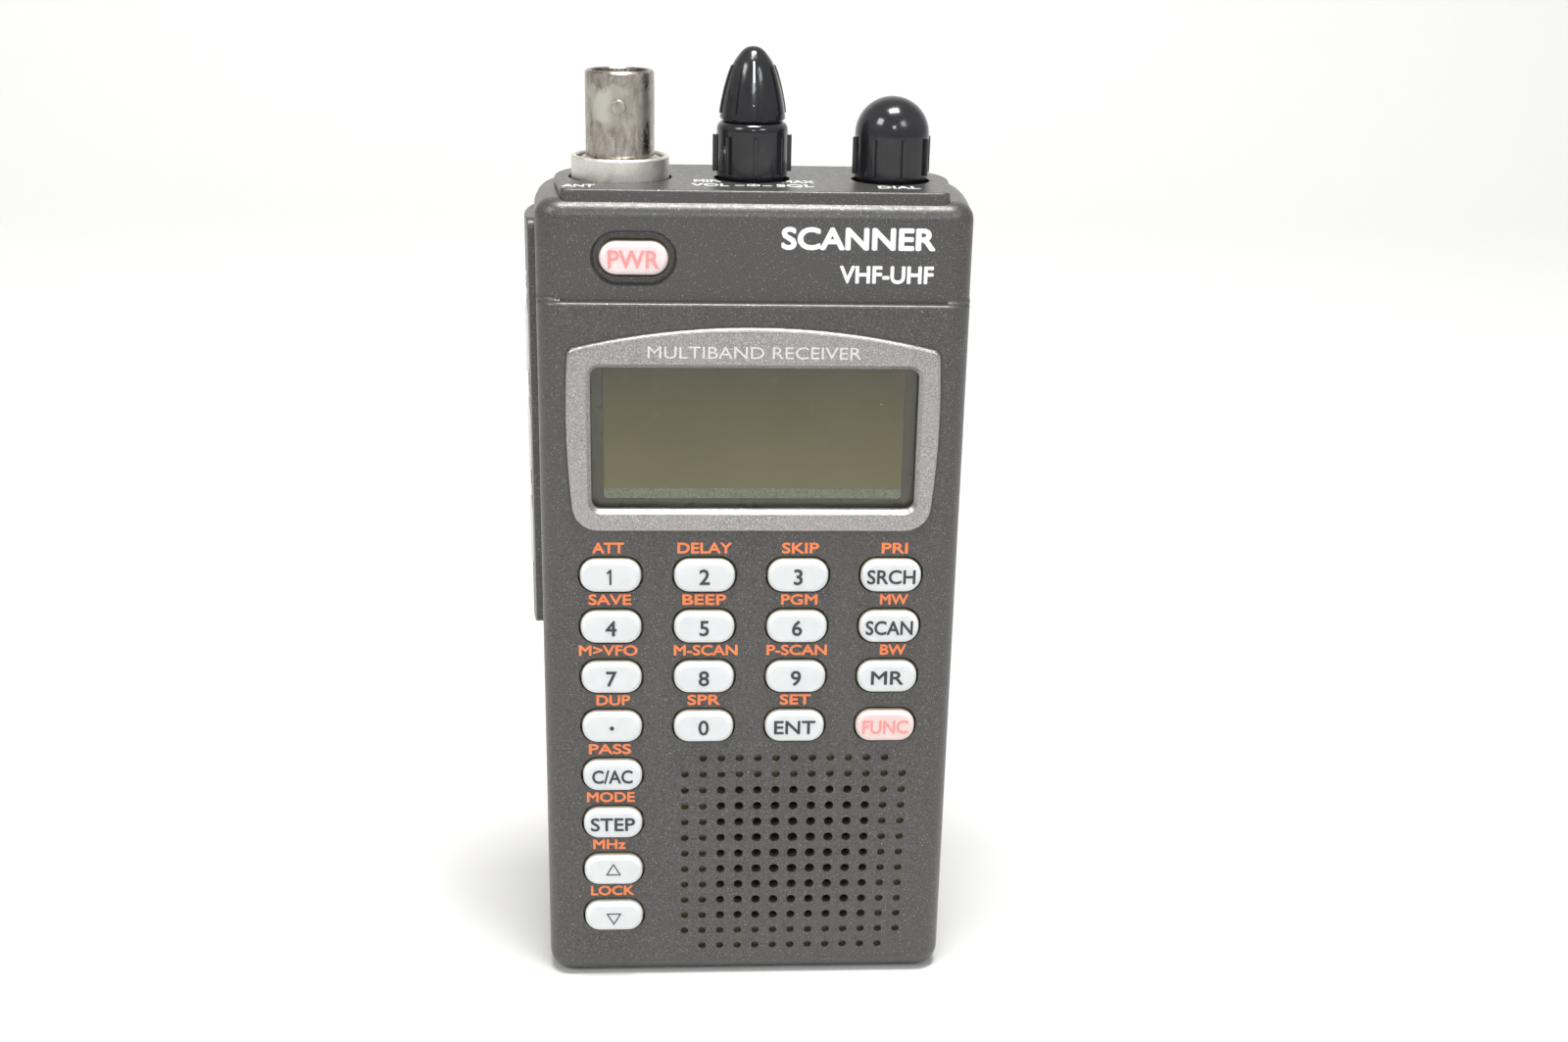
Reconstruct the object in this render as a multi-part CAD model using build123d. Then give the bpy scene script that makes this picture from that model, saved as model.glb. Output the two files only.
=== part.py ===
"""Handheld wideband scanner: a pocket radio receiver with a display, a rubber keypad and three controls.

Frame: millimetres, +Z up, +X to the right as the user faces it, -Y towards the user.
The origin is the centre of the footprint, on the surface that the scanner stands on.
"""
import math
import os

from build123d import *

# ---------------------------------------------------------------- case
FRONT_HALF_W = 29.9           # the sides lean outwards from the face to the flare's end
HALF_W = 31.0
FLARE_END_Y = 1.0
FRONT_Y = -14.5
REAR_Y = 16.0
HEIGHT = 119.2
WALL = 1.8
REAR_WALL = 1.6
STEP_BACK = 1.1               # how far the face above the step lies behind the keypad face
STEP_Z = 105.4
BROW_Y = FRONT_Y + STEP_BACK
CORNER_R = 3.5
REAR_CORNER_R = 11.0
FLARE_R = 30.0
TOP_EDGE_R = 2.6
BASE_EDGE_R = 3.2
STEP_EDGE_R = 0.6
STEP_COVE_R = 0.6
PARTING_Y = 7.0               # where the front and rear case meet
PARTING_GROOVE = 0.3
LIP_THICK = 0.8
LIP_DEPTH = 1.1
LIP_TOP = 104.0
INNER_X = FRONT_HALF_W - WALL
INNER_FRONT = FRONT_Y + WALL
INNER_BROW = BROW_Y + WALL
INNER_REAR = REAR_Y - REAR_WALL
INNER_CORNER_R = 1.5
INNER_REAR_CORNER_R = 7.4
INNER_TOP = HEIGHT - WALL
FIT_GAP = 0.05                # between fixed pieces that touch
LIP_GAP = 0.2

# ---------------------------------------------------------------- top panel and what stands on it
PANEL_FRONT_HALF_W = 26.5
PANEL_HALF_W = 28.1
PANEL_FRONT = -12.2
PANEL_REAR = 14.1
PANEL_CORNER_R = 1.2
PANEL_REAR_CORNER_R = 12.0
PANEL_TOP = 120.5
PANEL_SEAT = 118.6
CONTROL_Y = 0.4
ANTENNA_X = -18.75
VOLUME_X = -0.15
DIAL_X = 19.65

# ---------------------------------------------------------------- keypad
KEY_W = 8.7
KEY_H = 4.9
KEY_CORNER = 2.25
KEY_GAP = 0.35
KEY_PROUD = 1.0
KEY_TRAVEL = 1.0
KEY_PITCH_X = 13.44
KEY_PITCH_Z = 7.885
KEY_TOP_ROW = 65.95
KEY_ROWS = [
    ["key_1", "key_2", "key_3", "key_search"],
    ["key_4", "key_5", "key_6", "key_scan"],
    ["key_7", "key_8", "key_9", "key_recall"],
    ["key_point", "key_0", "key_enter", "key_function"],
    ["key_clear"],
    ["key_step"],
    ["key_up"],
    ["key_down"],
]
FLANGE = 0.85                 # how far a key's flange reaches past its sides
FLANGE_THICK = 0.55
BOARD_FRONT = -10.1
BOARD_THICK = 1.2

POWER_X = -16.65
POWER_Z = 111.35
POWER_W = 9.4
POWER_H = 4.6
POWER_DISH_W = 12.0
POWER_DISH_H = 7.8
POWER_DISH_DEEP = 1.0
POWER_TRAVEL = 0.6

# ---------------------------------------------------------------- display
BEZEL_BASE = 72.55
BEZEL_SHOULDER = 99.0
BEZEL_CROWN = 102.2
BEZEL_HALF_TOP = 25.9
BEZEL_HALF_MID = 26.2
BEZEL_HALF_BASE = 25.2
BEZEL_PROUD = 0.75
BEZEL_SEAT = 0.6
OPENING_X = 0.15
OPENING_Z = 86.15
OPENING_W = 45.8
OPENING_H = 20.6
OPENING_R = 1.4

# ---------------------------------------------------------------- speaker
GRILLE_X = 6.83
GRILLE_Z = 20.95
GRILLE_PITCH_X = 2.71
GRILLE_PITCH_Z = 2.65
GRILLE_HALF = 6               # holes each side of the middle one
BLIND_RINGS = 2               # the outer rings of holes stop inside the wall
BLIND_DEEP = 0.9
SPEAKER_R = 15.6

# ---------------------------------------------------------------- side keys
SIDE_PANEL_Y = -0.75
SIDE_PANEL_W = 14.6
SIDE_PANEL_BASE = 55.8
SIDE_PANEL_TOP = 115.7
SIDE_CREST_X = -32.2
SIDE_ARC_R = 30.0             # the strip's face is a shallow arc from front to rear
SIDE_KEY_Z = {"side_key_top": 97.9, "side_key_middle": 83.4, "side_key_bottom": 69.1}
SIDE_KEY_L = 9.7
SIDE_KEY_W = 11.0
SIDE_KEY_PROUD = 0.2
SIDE_TRAVEL = 0.8

# ---------------------------------------------------------------- batteries
CELL_R = 7.1
CELL_BODY = 49.2
CELL_NUB_R = 2.7
CELL_NUB = 1.1
CELL_COUNT = 4
CELL_PITCH = 14.6
CELL_FIRST_Z = 10.85
CELL_Y = 4.0
BAY_X = 27.0
BAY_FRONT = -3.25
BAY_BASE = 3.4
BAY_TOP = 62.0
BAY_WALL = 1.1
COVER_HALF_W = 26.4
COVER_THICK = 1.5
COVER_TOP = 61.6
COVER_BASE = 7.45             # of the door's full width; its hinge tongue reaches down to the pivot
COVER_BACK_Y = 9.5            # how far forward the door wraps round the rear corners
TONGUE_HALF_W = 19.5
COVER_LIP_DROP = 1.15         # the case's edge below the pivot is cut back so that the open door clears it
COVER_PIVOT_Z = 5.0
COVER_PIVOT_Y = REAR_Y - COVER_THICK / 2
COVER_PIN_R = 0.55
COVER_PIN_L = 1.4
COVER_GAP = 0.25

# ---------------------------------------------------------------- fasteners and jacks
POST_R = 2.2
UPPER_POSTS = [(-25.4, 106.4), (25.4, 106.4)]
UPPER_POST_END = 5.2
UPPER_WELL_R = 2.9            # the rear posts are wider, because their screws sit deep in them
UPPER_SEAT_Y = 11.4
LOWER_POSTS = [(-12.0, 32.75), (25.0, 32.75)]
SCREW_R = 0.9
SCREW_HEAD_R = 1.8
SCREW_HEAD = 1.1
CLIP_HOLE_R = 1.25
CLIP_HOLE_DEEP = 5.0
CLIP_SPACING = 20.0
CLIP_Z = 84.0
JACK_Y = -4.9
JACK_FACE_X = 30.45
EAR_Z = 90.0
EAR_BORE_R = 1.8
EAR_BORE_DEEP = 14.0
DC_Z = 76.5
DC_BORE_R = 2.85
DC_BORE_DEEP = 9.5


# ================================================================ shape helpers
def block(x0, x1, y0, y1, z0, z1):
    """A box given by its two opposite corners."""
    return Pos((x0 + x1) / 2, (y0 + y1) / 2, (z0 + z1) / 2) * Box(x1 - x0, y1 - y0, z1 - z0)


def rod_z(x, y, z0, z1, r):
    """An upright cylinder."""
    return Pos(x, y, (z0 + z1) / 2) * Cylinder(r, z1 - z0)


def rod_y(x, z, y0, y1, r):
    """A cylinder that runs from front to rear."""
    return Pos(x, (y0 + y1) / 2, z) * Rot(90, 0, 0) * Cylinder(r, y1 - y0)


def rod_x(y, z, x0, x1, r):
    """A cylinder that runs from left to right."""
    return Pos((x0 + x1) / 2, y, z) * Rot(0, 90, 0) * Cylinder(r, x1 - x0)


def facing_slab(outline, x, z, y_front, y_back):
    """An outline seen from the front, extruded between two depths."""
    plane = Plane((x, y_back, z), x_dir=(1, 0, 0), z_dir=(0, -1, 0))
    return extrude(plane * outline, y_back - y_front)


def side_slab(outline, y, z, x_outer, x_inner):
    """An outline seen from the left side, extruded between two places across the width."""
    plane = Plane((x_inner, y, z), x_dir=(0, -1, 0), z_dir=(-1, 0, 0))
    return extrude(plane * outline, x_inner - x_outer)


def key_outline(width, height, corner):
    """A rounded rectangle whose ends are almost half round."""
    return RectangleRounded(width, height, min(corner, height / 2 - 0.01))


def edges_at(shape, axis, place):
    """The edges that lie wholly at one place along an axis."""
    return shape.edges().filter_by_position(axis, place - 0.01, place + 0.01)


def group(solids):
    """Several separate solids in one node."""
    return Compound(children=list(solids))


def spun(profile_points, x, y):
    """A solid turned about an upright axis from (radius, height) points."""
    outline = make_face(Polyline(*[(r, 0, z) for r, z in profile_points], close=True))
    return Pos(x, y, 0) * revolve(outline, Axis.Z)


# ================================================================ case
def flare_at(y):
    """How far the case's side stands from the middle at a place along the flare."""
    return FRONT_HALF_W + (HALF_W - FRONT_HALF_W) * (y - FRONT_Y) / (FLARE_END_Y - FRONT_Y)


def case_prism(front_y, z0, z1, inset=0.0):
    """The case between two heights: a flat face, leaning sides and a back with large corners."""
    corners = [
        (-flare_at(front_y) + inset, front_y + inset), (flare_at(front_y) - inset, front_y + inset),
        (HALF_W - inset, FLARE_END_Y), (HALF_W - inset, REAR_Y - inset),
        (-HALF_W + inset, REAR_Y - inset), (-HALF_W + inset, FLARE_END_Y),
    ]
    section = make_face(Polyline(*corners, close=True))
    levels = section.vertices().group_by(Axis.Y)
    section = fillet(levels[0], CORNER_R - inset)
    section = fillet(section.vertices().group_by(Axis.Y)[-1], REAR_CORNER_R - inset)
    bends = [v for v in section.vertices() if abs(v.Y - FLARE_END_Y) < 0.01]
    section = fillet(bends, FLARE_R)
    return extrude(Pos(0, 0, z0) * section, z1 - z0)


def inner_prism(front_y, z0, z1):
    """The hollow's section between two heights."""
    outline = Pos(0, (INNER_REAR + front_y) / 2) * Rectangle(2 * INNER_X, INNER_REAR - front_y)
    outline = fillet(outline.vertices().group_by(Axis.Y)[0], INNER_CORNER_R)
    outline = fillet(outline.vertices().group_by(Axis.Y)[-1], INNER_REAR_CORNER_R)
    return extrude(Pos(0, 0, z0) * outline, z1 - z0)


def case_outside():
    """The whole case as one solid, with the step across its face."""
    keypad_part = case_prism(FRONT_Y, 0, STEP_Z)
    keypad_part = fillet(edges_at(keypad_part, Axis.Z, STEP_Z), STEP_EDGE_R)
    keypad_part = fillet(edges_at(keypad_part, Axis.Z, 0), BASE_EDGE_R)
    brow_part = case_prism(BROW_Y, BASE_EDGE_R + 1, HEIGHT)
    brow_part = fillet(edges_at(brow_part, Axis.Z, HEIGHT), TOP_EDGE_R)
    return keypad_part + brow_part + step_cove()


def step_cove():
    """The hollow quarter-round that leads from the brow's face down onto the step."""
    lean = (HALF_W - FRONT_HALF_W) / (FLARE_END_Y - FRONT_Y)
    corner_y = BROW_Y + CORNER_R
    corner_x = flare_at(corner_y) - CORNER_R * math.hypot(1, lean)
    reach = CORNER_R + STEP_COVE_R
    top = STEP_Z + STEP_COVE_R
    section = make_face([
        Line((CORNER_R - 0.5, STEP_Z - 0.2), (reach, STEP_Z - 0.2)),
        Line((reach, STEP_Z - 0.2), (reach, STEP_Z)),
        RadiusArc((reach, STEP_Z), (CORNER_R, top), STEP_COVE_R),
        Line((CORNER_R, top), (CORNER_R - 0.5, top)),
        Line((CORNER_R - 0.5, top), (CORNER_R - 0.5, STEP_Z - 0.2)),
    ])
    ring = revolve(Plane.XZ * section, Axis.Z)
    corners = Pos(-corner_x, corner_y, 0) * ring + Pos(corner_x, corner_y, 0) * ring
    corners &= block(-HALF_W, HALF_W, FRONT_Y, corner_y, 0, HEIGHT)
    corners -= block(-corner_x, corner_x, FRONT_Y - 1, REAR_Y, 0, HEIGHT)
    side_plane = Plane((-corner_x, corner_y, 0), x_dir=(0, -1, 0), z_dir=(1, 0, 0))
    straight = extrude(side_plane * Plane.XY * section, 2 * corner_x)
    return (corners + straight) & case_prism(FRONT_Y, 0, HEIGHT)


def case_inside():
    """The hollow of the case."""
    return inner_prism(INNER_FRONT, WALL, STEP_Z - 1.5) + inner_prism(INNER_BROW, WALL, INNER_TOP)


def parting_groove():
    """The fine line all round where the two halves of the case meet."""
    y0 = PARTING_Y - PARTING_GROOVE / 2
    band = block(-HALF_W - 1, HALF_W + 1, y0, y0 + PARTING_GROOVE, -1, HEIGHT + 1)
    return band - case_prism(FRONT_Y, PARTING_GROOVE, HEIGHT - PARTING_GROOVE, PARTING_GROOVE)


def panel_outline(grow=0.0):
    """The top panel seen from above: small front corners, leaning sides and large rear corners."""
    front, rear = PANEL_FRONT - grow, PANEL_REAR + grow
    near, far = PANEL_FRONT_HALF_W + grow, PANEL_HALF_W + grow
    outline = make_face(Polyline(
        (-near, front), (near, front), (far, FLARE_END_Y), (far, rear), (-far, rear), (-far, FLARE_END_Y),
        close=True))
    outline = fillet(outline.vertices().group_by(Axis.Y)[0], PANEL_CORNER_R + grow)
    return fillet(outline.vertices().group_by(Axis.Y)[-1], PANEL_REAR_CORNER_R + grow)


def key_places():
    """Each keypad key's name and place on the face."""
    for row, names in enumerate(KEY_ROWS):
        for column, name in enumerate(names):
            x = KEY_PITCH_X * (column - 1.5)
            yield name, x, KEY_TOP_ROW - KEY_PITCH_Z * row


def grille_holes():
    """The speaker's holes: a square field without its corners, with wider holes towards the middle."""
    holes = []
    for i in range(-GRILLE_HALF, GRILLE_HALF + 1):
        for j in range(-GRILLE_HALF, GRILLE_HALF + 1):
            ring = max(abs(i), abs(j))
            if abs(i) == GRILLE_HALF and abs(j) == GRILLE_HALF:
                continue
            blind = ring > GRILLE_HALF - BLIND_RINGS
            radius = 0.58 if blind else 0.78 - 0.035 * ring
            deep = FRONT_Y + BLIND_DEEP if blind else INNER_FRONT + 1
            x = GRILLE_X + i * GRILLE_PITCH_X
            z = GRILLE_Z + j * GRILLE_PITCH_Z
            holes.append(rod_y(x, z, FRONT_Y - 1, deep, radius))
    return holes


def side_panel_outline(grow=0.0):
    """The side key panel seen from the left."""
    return RectangleRounded(SIDE_PANEL_W + 2 * grow, SIDE_PANEL_TOP - SIDE_PANEL_BASE + 2 * grow, 1.6 + grow)


def side_key_outline(grow=0.0):
    return RectangleRounded(SIDE_KEY_W + 2 * grow, SIDE_KEY_L + 2 * grow, 2.0 + grow)


def bezel_outline(grow=0.0):
    """The display bezel: an arched top, slightly bowed sides and large bottom corners."""
    top, base, crown = BEZEL_SHOULDER + grow, BEZEL_BASE - grow, BEZEL_CROWN + grow
    half_top, half_mid, half_base = BEZEL_HALF_TOP + grow, BEZEL_HALF_MID + grow, BEZEL_HALF_BASE + grow
    middle = (top + base) / 2
    outline = make_face([
        ThreePointArc((-half_top, top), (0, crown), (half_top, top)),
        ThreePointArc((half_top, top), (half_mid, middle), (half_base, base)),
        Line((half_base, base), (-half_base, base)),
        ThreePointArc((-half_base, base), (-half_mid, middle), (-half_top, top)),
    ])
    outline = fillet(outline.vertices().group_by(Axis.Y)[0], 3.8)
    return fillet(outline.vertices().group_by(Axis.Y)[-1], 1.3)


def screw_path(x, z, y0, y1):
    return rod_y(x, z, y0, y1, SCREW_R + 0.15)


def front_case():
    """The front half: face, sides as far back as the parting line, posts and the speaker's ring."""
    shell = case_outside() - case_inside()
    shell -= parting_groove()
    shell -= block(-HALF_W - 1, HALF_W + 1, PARTING_Y, REAR_Y + 1, -1, HEIGHT + 1)
    ring = rod_y(GRILLE_X, GRILLE_Z, INNER_FRONT - 0.5, INNER_FRONT + 2.2, SPEAKER_R + 1.2)
    ring -= rod_y(GRILLE_X, GRILLE_Z, INNER_FRONT - 1, INNER_FRONT + 3, SPEAKER_R + 0.2)
    shell += ring
    for x, z in UPPER_POSTS:
        shell += rod_y(x, z, INNER_BROW - 0.5, UPPER_POST_END, POST_R)
        shell -= rod_y(x, z, INNER_BROW + 5, UPPER_POST_END + 1, SCREW_R - 0.05)
    for x, z in LOWER_POSTS:
        end = BAY_FRONT - BAY_WALL - FIT_GAP
        shell += rod_y(x, z, INNER_FRONT - 0.5, end, POST_R - 0.3)
        shell -= rod_y(x, z, INNER_FRONT + 1.5, end + 1, SCREW_R - 0.05)
    cuts = []
    for _, x, z in key_places():
        hole = key_outline(KEY_W + 2 * KEY_GAP, KEY_H + 2 * KEY_GAP, KEY_CORNER + KEY_GAP)
        cuts.append(facing_slab(hole, x, z, FRONT_Y - 1, INNER_FRONT + 0.5))
    cuts += grille_holes()
    cuts.append(facing_slab(bezel_outline(FIT_GAP), 0, 0, FRONT_Y - 1, FRONT_Y + BEZEL_SEAT))
    stack = RectangleRounded(OPENING_W + 2.6, OPENING_H + 3.6, 1.0)
    cuts.append(facing_slab(stack, OPENING_X, OPENING_Z, FRONT_Y - 1, INNER_FRONT + 1))
    dish = key_outline(POWER_DISH_W, POWER_DISH_H, POWER_DISH_H / 2)
    plane = Plane((POWER_X, BROW_Y - 0.2, POWER_Z), x_dir=(1, 0, 0), z_dir=(0, 1, 0))
    cuts.append(extrude(plane * dish, POWER_DISH_DEEP + 0.2, taper=20))
    hole = key_outline(POWER_W + 2 * KEY_GAP, POWER_H + 2 * KEY_GAP, POWER_H)
    cuts.append(facing_slab(hole, POWER_X, POWER_Z, BROW_Y - 1, INNER_BROW + 1))
    for z in SIDE_KEY_Z.values():
        outline = side_key_outline(KEY_GAP)
        cuts.append(side_slab(outline, SIDE_PANEL_Y, z, -HALF_W - 1, -INNER_X + 1))
    cuts.append(rod_x(JACK_Y, EAR_Z, INNER_X - 1, HALF_W + 1, 3.05))
    cuts.append(rod_x(JACK_Y, DC_Z, INNER_X - 1, HALF_W + 1, 4.05))
    cuts += top_cuts()
    return shell - cuts


def top_cuts():
    """The top panel's seat and the three holes through the case's top."""
    plane = Plane((0, 0, PANEL_SEAT), x_dir=(1, 0, 0), z_dir=(0, 0, 1))
    return [
        extrude(plane * panel_outline(FIT_GAP), 5),
        rod_z(ANTENNA_X, CONTROL_Y, INNER_TOP - 1, HEIGHT + 1, 4.8),
        rod_z(VOLUME_X, CONTROL_Y, INNER_TOP - 1, HEIGHT + 1, 3.6),
        rod_z(DIAL_X, CONTROL_Y, INNER_TOP - 1, HEIGHT + 1, 3.6),
    ]


def rear_case():
    """The rear half with the battery bay moulded into it."""
    shell = case_outside() - case_inside()
    shell -= parting_groove()
    shell -= block(-HALF_W - 1, HALF_W + 1, FRONT_Y - 1, PARTING_Y, -1, HEIGHT + 1)
    inset = LIP_THICK + LIP_GAP
    hollow = block(-INNER_X + inset, INNER_X - inset, PARTING_Y - 3, PARTING_Y + 3, WALL + inset, HEIGHT)
    lip = block(-INNER_X + LIP_GAP, INNER_X - LIP_GAP, PARTING_Y - LIP_DEPTH, PARTING_Y + 0.5,
                WALL + FIT_GAP, LIP_TOP)
    root = block(-INNER_X, INNER_X, PARTING_Y, PARTING_Y + 0.5, WALL, LIP_TOP)
    shell += lip + root - hollow
    tub_x = BAY_X + BAY_WALL
    tub_base, tub_top = BAY_BASE - BAY_WALL, BAY_TOP + BAY_WALL
    tub = block(-tub_x, tub_x, BAY_FRONT - BAY_WALL, INNER_REAR + 0.5, tub_base, tub_top)
    shell += tub & case_prism(FRONT_Y, tub_base, tub_top)
    for x, z in UPPER_POSTS:
        well = rod_y(x, z, UPPER_POST_END + FIT_GAP, REAR_Y, UPPER_WELL_R)
        shell += well & case_prism(FRONT_Y, z - POST_R - 1, z + POST_R + 1)
    for side in (-1, 1):
        x = side * CLIP_SPACING / 2
        shell += rod_y(x, CLIP_Z, INNER_REAR - 4.5, INNER_REAR + 0.5, 2.8)
    bay = block(-BAY_X, BAY_X, BAY_FRONT, INNER_REAR + 1, BAY_BASE, BAY_TOP)
    cuts = [bay & inner_prism(INNER_FRONT, BAY_BASE, BAY_TOP)]
    half = COVER_HALF_W + COVER_GAP
    cuts.append(block(-half, half, COVER_BACK_Y, REAR_Y + 1, COVER_BASE - COVER_GAP, COVER_TOP + COVER_GAP))
    half = TONGUE_HALF_W + COVER_GAP
    cuts.append(block(-half, half, INNER_REAR - 0.01, REAR_Y + 1, COVER_PIVOT_Z, COVER_BASE))
    cuts.append(rod_x(COVER_PIVOT_Y, COVER_PIVOT_Z, -half, half, COVER_THICK / 2 + COVER_GAP))
    cuts.append(block(-half, half, COVER_PIVOT_Y, REAR_Y + 1, COVER_PIVOT_Z - COVER_LIP_DROP, COVER_PIVOT_Z))
    pin_end = TONGUE_HALF_W + COVER_PIN_L + 0.3
    cuts.append(rod_x(COVER_PIVOT_Y, COVER_PIVOT_Z, -pin_end, pin_end, COVER_PIN_R + 0.08))
    for x, z in UPPER_POSTS:
        cuts.append(screw_path(x, z, UPPER_POST_END - 1, REAR_Y + 1))
        cuts.append(rod_y(x, z, UPPER_SEAT_Y, REAR_Y + 1, SCREW_HEAD_R + 0.3))
    for x, z in LOWER_POSTS:
        cuts.append(screw_path(x, z, BAY_FRONT - BAY_WALL - 1, BAY_FRONT + 1))
    for side in (-1, 1):
        cuts.append(rod_y(side * CLIP_SPACING / 2, CLIP_Z, REAR_Y - CLIP_HOLE_DEEP, REAR_Y + 1, CLIP_HOLE_R))
    cuts += top_cuts()
    return shell - cuts


def top_panel():
    """The raised plate on top, with the openings for the antenna socket and the knobs."""
    plane = Plane((0, 0, PANEL_SEAT), x_dir=(1, 0, 0), z_dir=(0, 0, 1))
    plate = extrude(plane * panel_outline(), PANEL_TOP - PANEL_SEAT)
    plate = fillet(edges_at(plate, Axis.Z, PANEL_TOP), 0.35)
    plate -= rod_z(ANTENNA_X, CONTROL_Y, PANEL_SEAT - 1, PANEL_TOP + 1, 7.3)
    plate -= rod_z(VOLUME_X, CONTROL_Y, PANEL_SEAT - 1, PANEL_TOP + 1, 5.4)
    plate -= rod_z(DIAL_X, CONTROL_Y, PANEL_SEAT - 1, PANEL_TOP + 1, 5.6)
    return plate


# ================================================================ display
def lcd_bezel():
    """The silver frame around the display."""
    frame = facing_slab(bezel_outline(), 0, 0, FRONT_Y - BEZEL_PROUD, FRONT_Y + BEZEL_SEAT)
    frame = fillet(edges_at(frame, Axis.Y, FRONT_Y - BEZEL_PROUD), 0.7)
    opening = RectangleRounded(OPENING_W, OPENING_H, OPENING_R)
    frame -= facing_slab(opening, OPENING_X, OPENING_Z, FRONT_Y - 3, FRONT_Y + 3)
    inner = edges_at(frame, Axis.Y, FRONT_Y - BEZEL_PROUD).filter_by_position(
        Axis.X, OPENING_X - OPENING_W / 2 - 0.1, OPENING_X + OPENING_W / 2 + 0.1).filter_by_position(
        Axis.Z, OPENING_Z - OPENING_H / 2 - 0.1, OPENING_Z + OPENING_H / 2 + 0.1)
    return chamfer(inner, 0.55)


def display_plate(width, height, corner, y_front, y_back):
    return facing_slab(RectangleRounded(width, height, corner), OPENING_X, OPENING_Z, y_front, y_back)


def lcd_window():
    return display_plate(OPENING_W + 1.6, OPENING_H + 1.6, 0.8, FRONT_Y + BEZEL_SEAT, FRONT_Y + 1.55)


def lcd_glass():
    """The liquid crystal cell: a front glass and a slightly taller rear glass."""
    rear = display_plate(OPENING_W + 1.0, OPENING_H + 2.4, 0.3, -12.2, -11.7)
    return rear + display_plate(OPENING_W + 1.0, OPENING_H + 0.6, 0.3, -12.8, -12.2)


def lcd_backlight():
    plate = display_plate(OPENING_W + 1.0, OPENING_H + 2.2, 0.5, -11.7, BOARD_FRONT)
    return plate


# ================================================================ keypad
def face_key(x, z, width, height, corner, y_face, y_wall, proud, travel_end):
    """A soft key cap, the flange that keeps it behind the wall and the pill that closes a contact."""
    cap = facing_slab(key_outline(width, height, corner), x, z, y_face - proud, y_wall + 0.1)
    cap = fillet(edges_at(cap, Axis.Y, y_face - proud), 0.7)
    skirt = key_outline(width + 2 * FLANGE, height + 2 * FLANGE, corner)
    cap += facing_slab(skirt, x, z, y_wall + 0.1, y_wall + 0.1 + FLANGE_THICK)
    return cap + rod_y(x, z, y_wall + 0.1 + FLANGE_THICK, travel_end, 1.5)


def keypad_key(x, z):
    end = BOARD_FRONT - KEY_TRAVEL - 0.1
    return face_key(x, z, KEY_W, KEY_H, KEY_CORNER, FRONT_Y, INNER_FRONT, KEY_PROUD, end)


def power_key():
    end = BOARD_FRONT - POWER_TRAVEL - 0.1
    return face_key(POWER_X, POWER_Z, POWER_W, POWER_H, POWER_H / 2, BROW_Y, INNER_BROW, 0.25, end)


def keypad_mat():
    """The rubber sheet that the keys hang in, with a window for each key's flange."""
    left = -1.5 * KEY_PITCH_X - 6.1
    right = 1.5 * KEY_PITCH_X + 6.1
    strip_right = -1.5 * KEY_PITCH_X + 5.6
    block_base = KEY_TOP_ROW - 3.5 * KEY_PITCH_Z
    back = BOARD_FRONT
    mat = block(left, right, INNER_FRONT, back, block_base, KEY_TOP_ROW + 4.4)
    mat += block(left, strip_right, INNER_FRONT, back, KEY_TOP_ROW - 7 * KEY_PITCH_Z - 4.2, block_base)
    grow = 2 * FLANGE + 0.5
    window = key_outline(KEY_W + grow, KEY_H + grow, KEY_CORNER)
    return mat - [facing_slab(window, x, z, INNER_FRONT - 1, back + 1) for _, x, z in key_places()]


# ================================================================ side keys
def side_arc(z_mid, length, proud):
    """An upright cylinder whose outermost line is the crest of the side panel, or stands proud of it."""
    crest = SIDE_CREST_X - proud
    radius = SIDE_ARC_R + proud
    return rod_z(crest + radius, SIDE_PANEL_Y, z_mid - length, z_mid + length, radius)


def soften_outer_face(solid, radius):
    """Rounds the edges of a side piece's outermost face."""
    return fillet(solid.faces().sort_by(Axis.X)[0].edges(), radius)


def side_panel():
    """The raised strip on the left side, bowed from front to rear, with three key holes."""
    z = (SIDE_PANEL_TOP + SIDE_PANEL_BASE) / 2
    outer = SIDE_CREST_X
    strip = side_slab(side_panel_outline(), SIDE_PANEL_Y, z, outer - 1, -FRONT_HALF_W)
    strip = soften_outer_face(strip & side_arc(z, SIDE_PANEL_TOP, 0), 0.2)
    strip -= case_prism(FRONT_Y, 0, HEIGHT)
    holes = [side_slab(side_key_outline(KEY_GAP), SIDE_PANEL_Y, place, outer - 1, -HALF_W + 1)
             for place in SIDE_KEY_Z.values()]
    return strip - holes


def side_key(z):
    """A long side key with the flange that keeps it inside the wall."""
    outer = SIDE_CREST_X - SIDE_KEY_PROUD
    wall = -INNER_X + 0.1
    cap = side_slab(side_key_outline(), SIDE_PANEL_Y, z, outer - 1, wall)
    cap = soften_outer_face(cap & side_arc(z, 2 * SIDE_KEY_L, SIDE_KEY_PROUD), 0.45)
    return cap + side_slab(side_key_outline(FLANGE), SIDE_PANEL_Y, z, wall, wall + FLANGE_THICK)


def side_switches():
    """Three push switches on their small upright board, behind the side keys."""
    board = block(-23.0, -22.0, -7.0, 5.0, 64.4, 104.0)
    parts = [board]
    tip = -INNER_X + 0.1 + FLANGE_THICK + SIDE_TRAVEL + 0.1
    for z in SIDE_KEY_Z.values():
        body = block(-25.4, -23.0, SIDE_PANEL_Y - 3, SIDE_PANEL_Y + 3, z - 3, z + 3)
        parts.append(body + rod_x(SIDE_PANEL_Y, z, tip, -25.4, 1.6))
    return group(parts)


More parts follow.
